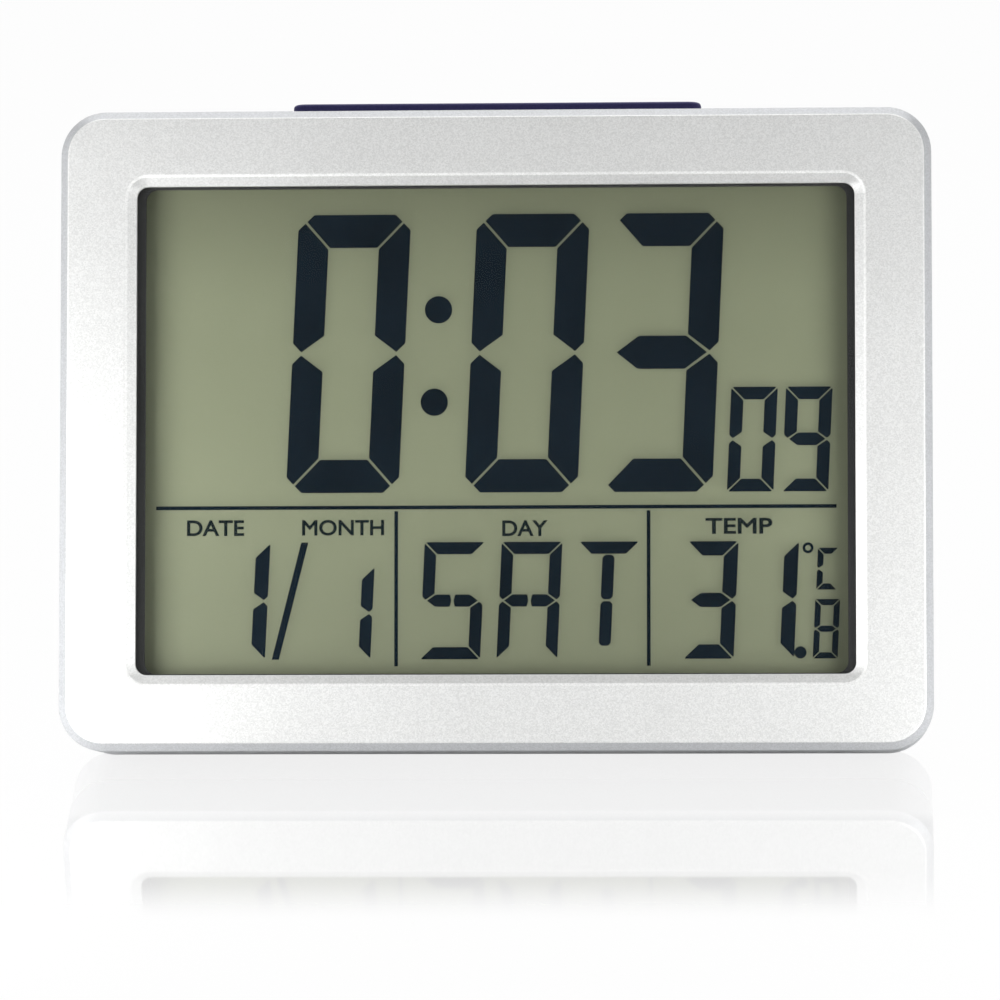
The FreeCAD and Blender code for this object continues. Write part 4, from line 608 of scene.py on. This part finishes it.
def floor_material():
    """White that is seen as white, keeps some shadow, and mirrors what stands close by."""
    material = bpy.data.materials.new("floor_white")
    material.use_nodes = True
    tree = material.node_tree
    link = tree.links.new
    shader = tree.nodes["Principled BSDF"]
    shader.inputs["Base Color"].default_value = (FLOOR_WHITE, FLOOR_WHITE, FLOOR_WHITE, 1)
    shader.inputs["Roughness"].default_value = FLOOR_ROUGH
    glow = tree.nodes.new("ShaderNodeEmission")
    glow.inputs["Color"].default_value = (1, 1, 1, 1)
    rays = tree.nodes.new("ShaderNodeLightPath")
    lifted = tree.nodes.new("ShaderNodeMixShader")
    mirror = tree.nodes.new("ShaderNodeBsdfGlossy")
    mirror.inputs["Color"].default_value = (1, 1, 1, 1)
    mirror.inputs["Roughness"].default_value = MIRROR_ROUGH
    both = tree.nodes.new("ShaderNodeMixShader")
    seen = combine(tree, "MULTIPLY", rays.outputs["Is Camera Ray"], FLOOR_LIFT)
    link(seen, lifted.inputs["Fac"])
    link(shader.outputs["BSDF"], lifted.inputs[1])
    link(glow.outputs["Emission"], lifted.inputs[2])
    link(mirror_share(tree), both.inputs["Fac"])
    link(lifted.outputs["Shader"], both.inputs[1])
    link(mirror.outputs["BSDF"], both.inputs[2])
    link(both.outputs["Shader"], tree.nodes["Material Output"].inputs["Surface"])
    return material


def studio_floor():
    """A flat sheet that takes no part in the model."""
    mesh = bpy.data.meshes.new("floor")
    form = bmesh.new()
    bmesh.ops.create_grid(form, x_segments=1, y_segments=1, size=FLOOR_SIZE)
    form.to_mesh(mesh)
    form.free()
    floor = bpy.data.objects.new("floor", mesh)
    bpy.context.collection.objects.link(floor)
    mesh.materials.append(floor_material())


studio_floor()

# %% [markdown]
# ## Lamps
#
# The photograph's face is brightest at its sides and lowest corners and greyest at the top
# middle. Two small soft boxes that stand low and close on either side give that fall of
# light, the left one a little stronger. A wide one high up behind the clock lights the top
# edge and the back, and doesn't reach the face. The camera sees none of them.

# %% Soft boxes
LAMPS = (
    # name, place, target, width and height in metres, watts
    ("left_box", (-0.174, -0.134, 0.024), (-0.06, 0, 0.04), (0.10, 0.16), 0.61),
    ("right_box", (0.196, -0.150, 0.018), (0.05, 0, 0.03), (0.10, 0.15), 0.54),
    ("top_box", (0.0, 0.35, 0.75), (0, 0, 0.06), (1.0, 0.6), 4.0),
)


def soft_box(name, place, target, size, power):
    """A rectangular lamp turned to its target."""
    data = bpy.data.lights.new(name, "AREA")
    data.shape = "RECTANGLE"
    data.size, data.size_y = size
    data.energy = power
    lamp = bpy.data.objects.new(name, data)
    bpy.context.collection.objects.link(lamp)
    lamp.location = place
    lamp.visible_camera = False
    aim = Vector(target) - Vector(place)
    lamp.rotation_euler = aim.to_track_quat("-Z", "Y").to_euler()


for lamp_row in LAMPS:
    soft_box(*lamp_row)
print("lamps:", [row[0] for row in LAMPS])

# %% [markdown]
# ## World
#
# The background has to be pure white, but as much light from all sides would wash out the
# soft boxes. So the rays that are seen, straight or in a mirror or through a pane, get plain
# white, and the rest, which light the object, get a weak and slightly cool sky.

# %% World
SKY_TINT, SKY_STRENGTH, WHITE_STRENGTH = (0.95, 0.97, 1.0), 0.10, 1.0


def studio_world():
    """White to look at, and a weak cool light for everything else."""
    world = bpy.data.worlds.new("studio")
    bpy.context.scene.world = world
    world.use_nodes = True
    tree = world.node_tree
    sky = tree.nodes["Background"]
    sky.inputs["Color"].default_value = (*SKY_TINT, 1)
    sky.inputs["Strength"].default_value = SKY_STRENGTH
    white = tree.nodes.new("ShaderNodeBackground")
    white.inputs["Color"].default_value = (1, 1, 1, 1)
    white.inputs["Strength"].default_value = WHITE_STRENGTH
    path = tree.nodes.new("ShaderNodeLightPath")
    seen = combine(tree, "MAXIMUM", path.outputs["Is Camera Ray"],
                   path.outputs["Is Glossy Ray"])
    through = combine(tree, "MAXIMUM", seen, path.outputs["Is Transmission Ray"])
    choose = tree.nodes.new("ShaderNodeMixShader")
    tree.links.new(through, choose.inputs["Fac"])
    tree.links.new(sky.outputs["Background"], choose.inputs[1])
    tree.links.new(white.outputs["Background"], choose.inputs[2])
    tree.links.new(choose.outputs["Shader"], tree.nodes["World Output"].inputs["Surface"])


studio_world()
bpy.context.scene.view_settings.view_transform = "Standard"

# %% [markdown]
# ## How far a ray is followed
#
# A ray that lights the reflector goes through three panes on its way in and out, which is
# twelve clear surfaces, more than the eight that are followed unless told otherwise. The
# other kinds of bounce matter little in so open a setting, and fewer of them save time.

# %% Depth of the rays
paths = bpy.context.scene.cycles
paths.transparent_max_bounces = 24
paths.max_bounces = 5
paths.diffuse_bounces = 2
paths.glossy_bounces = 3
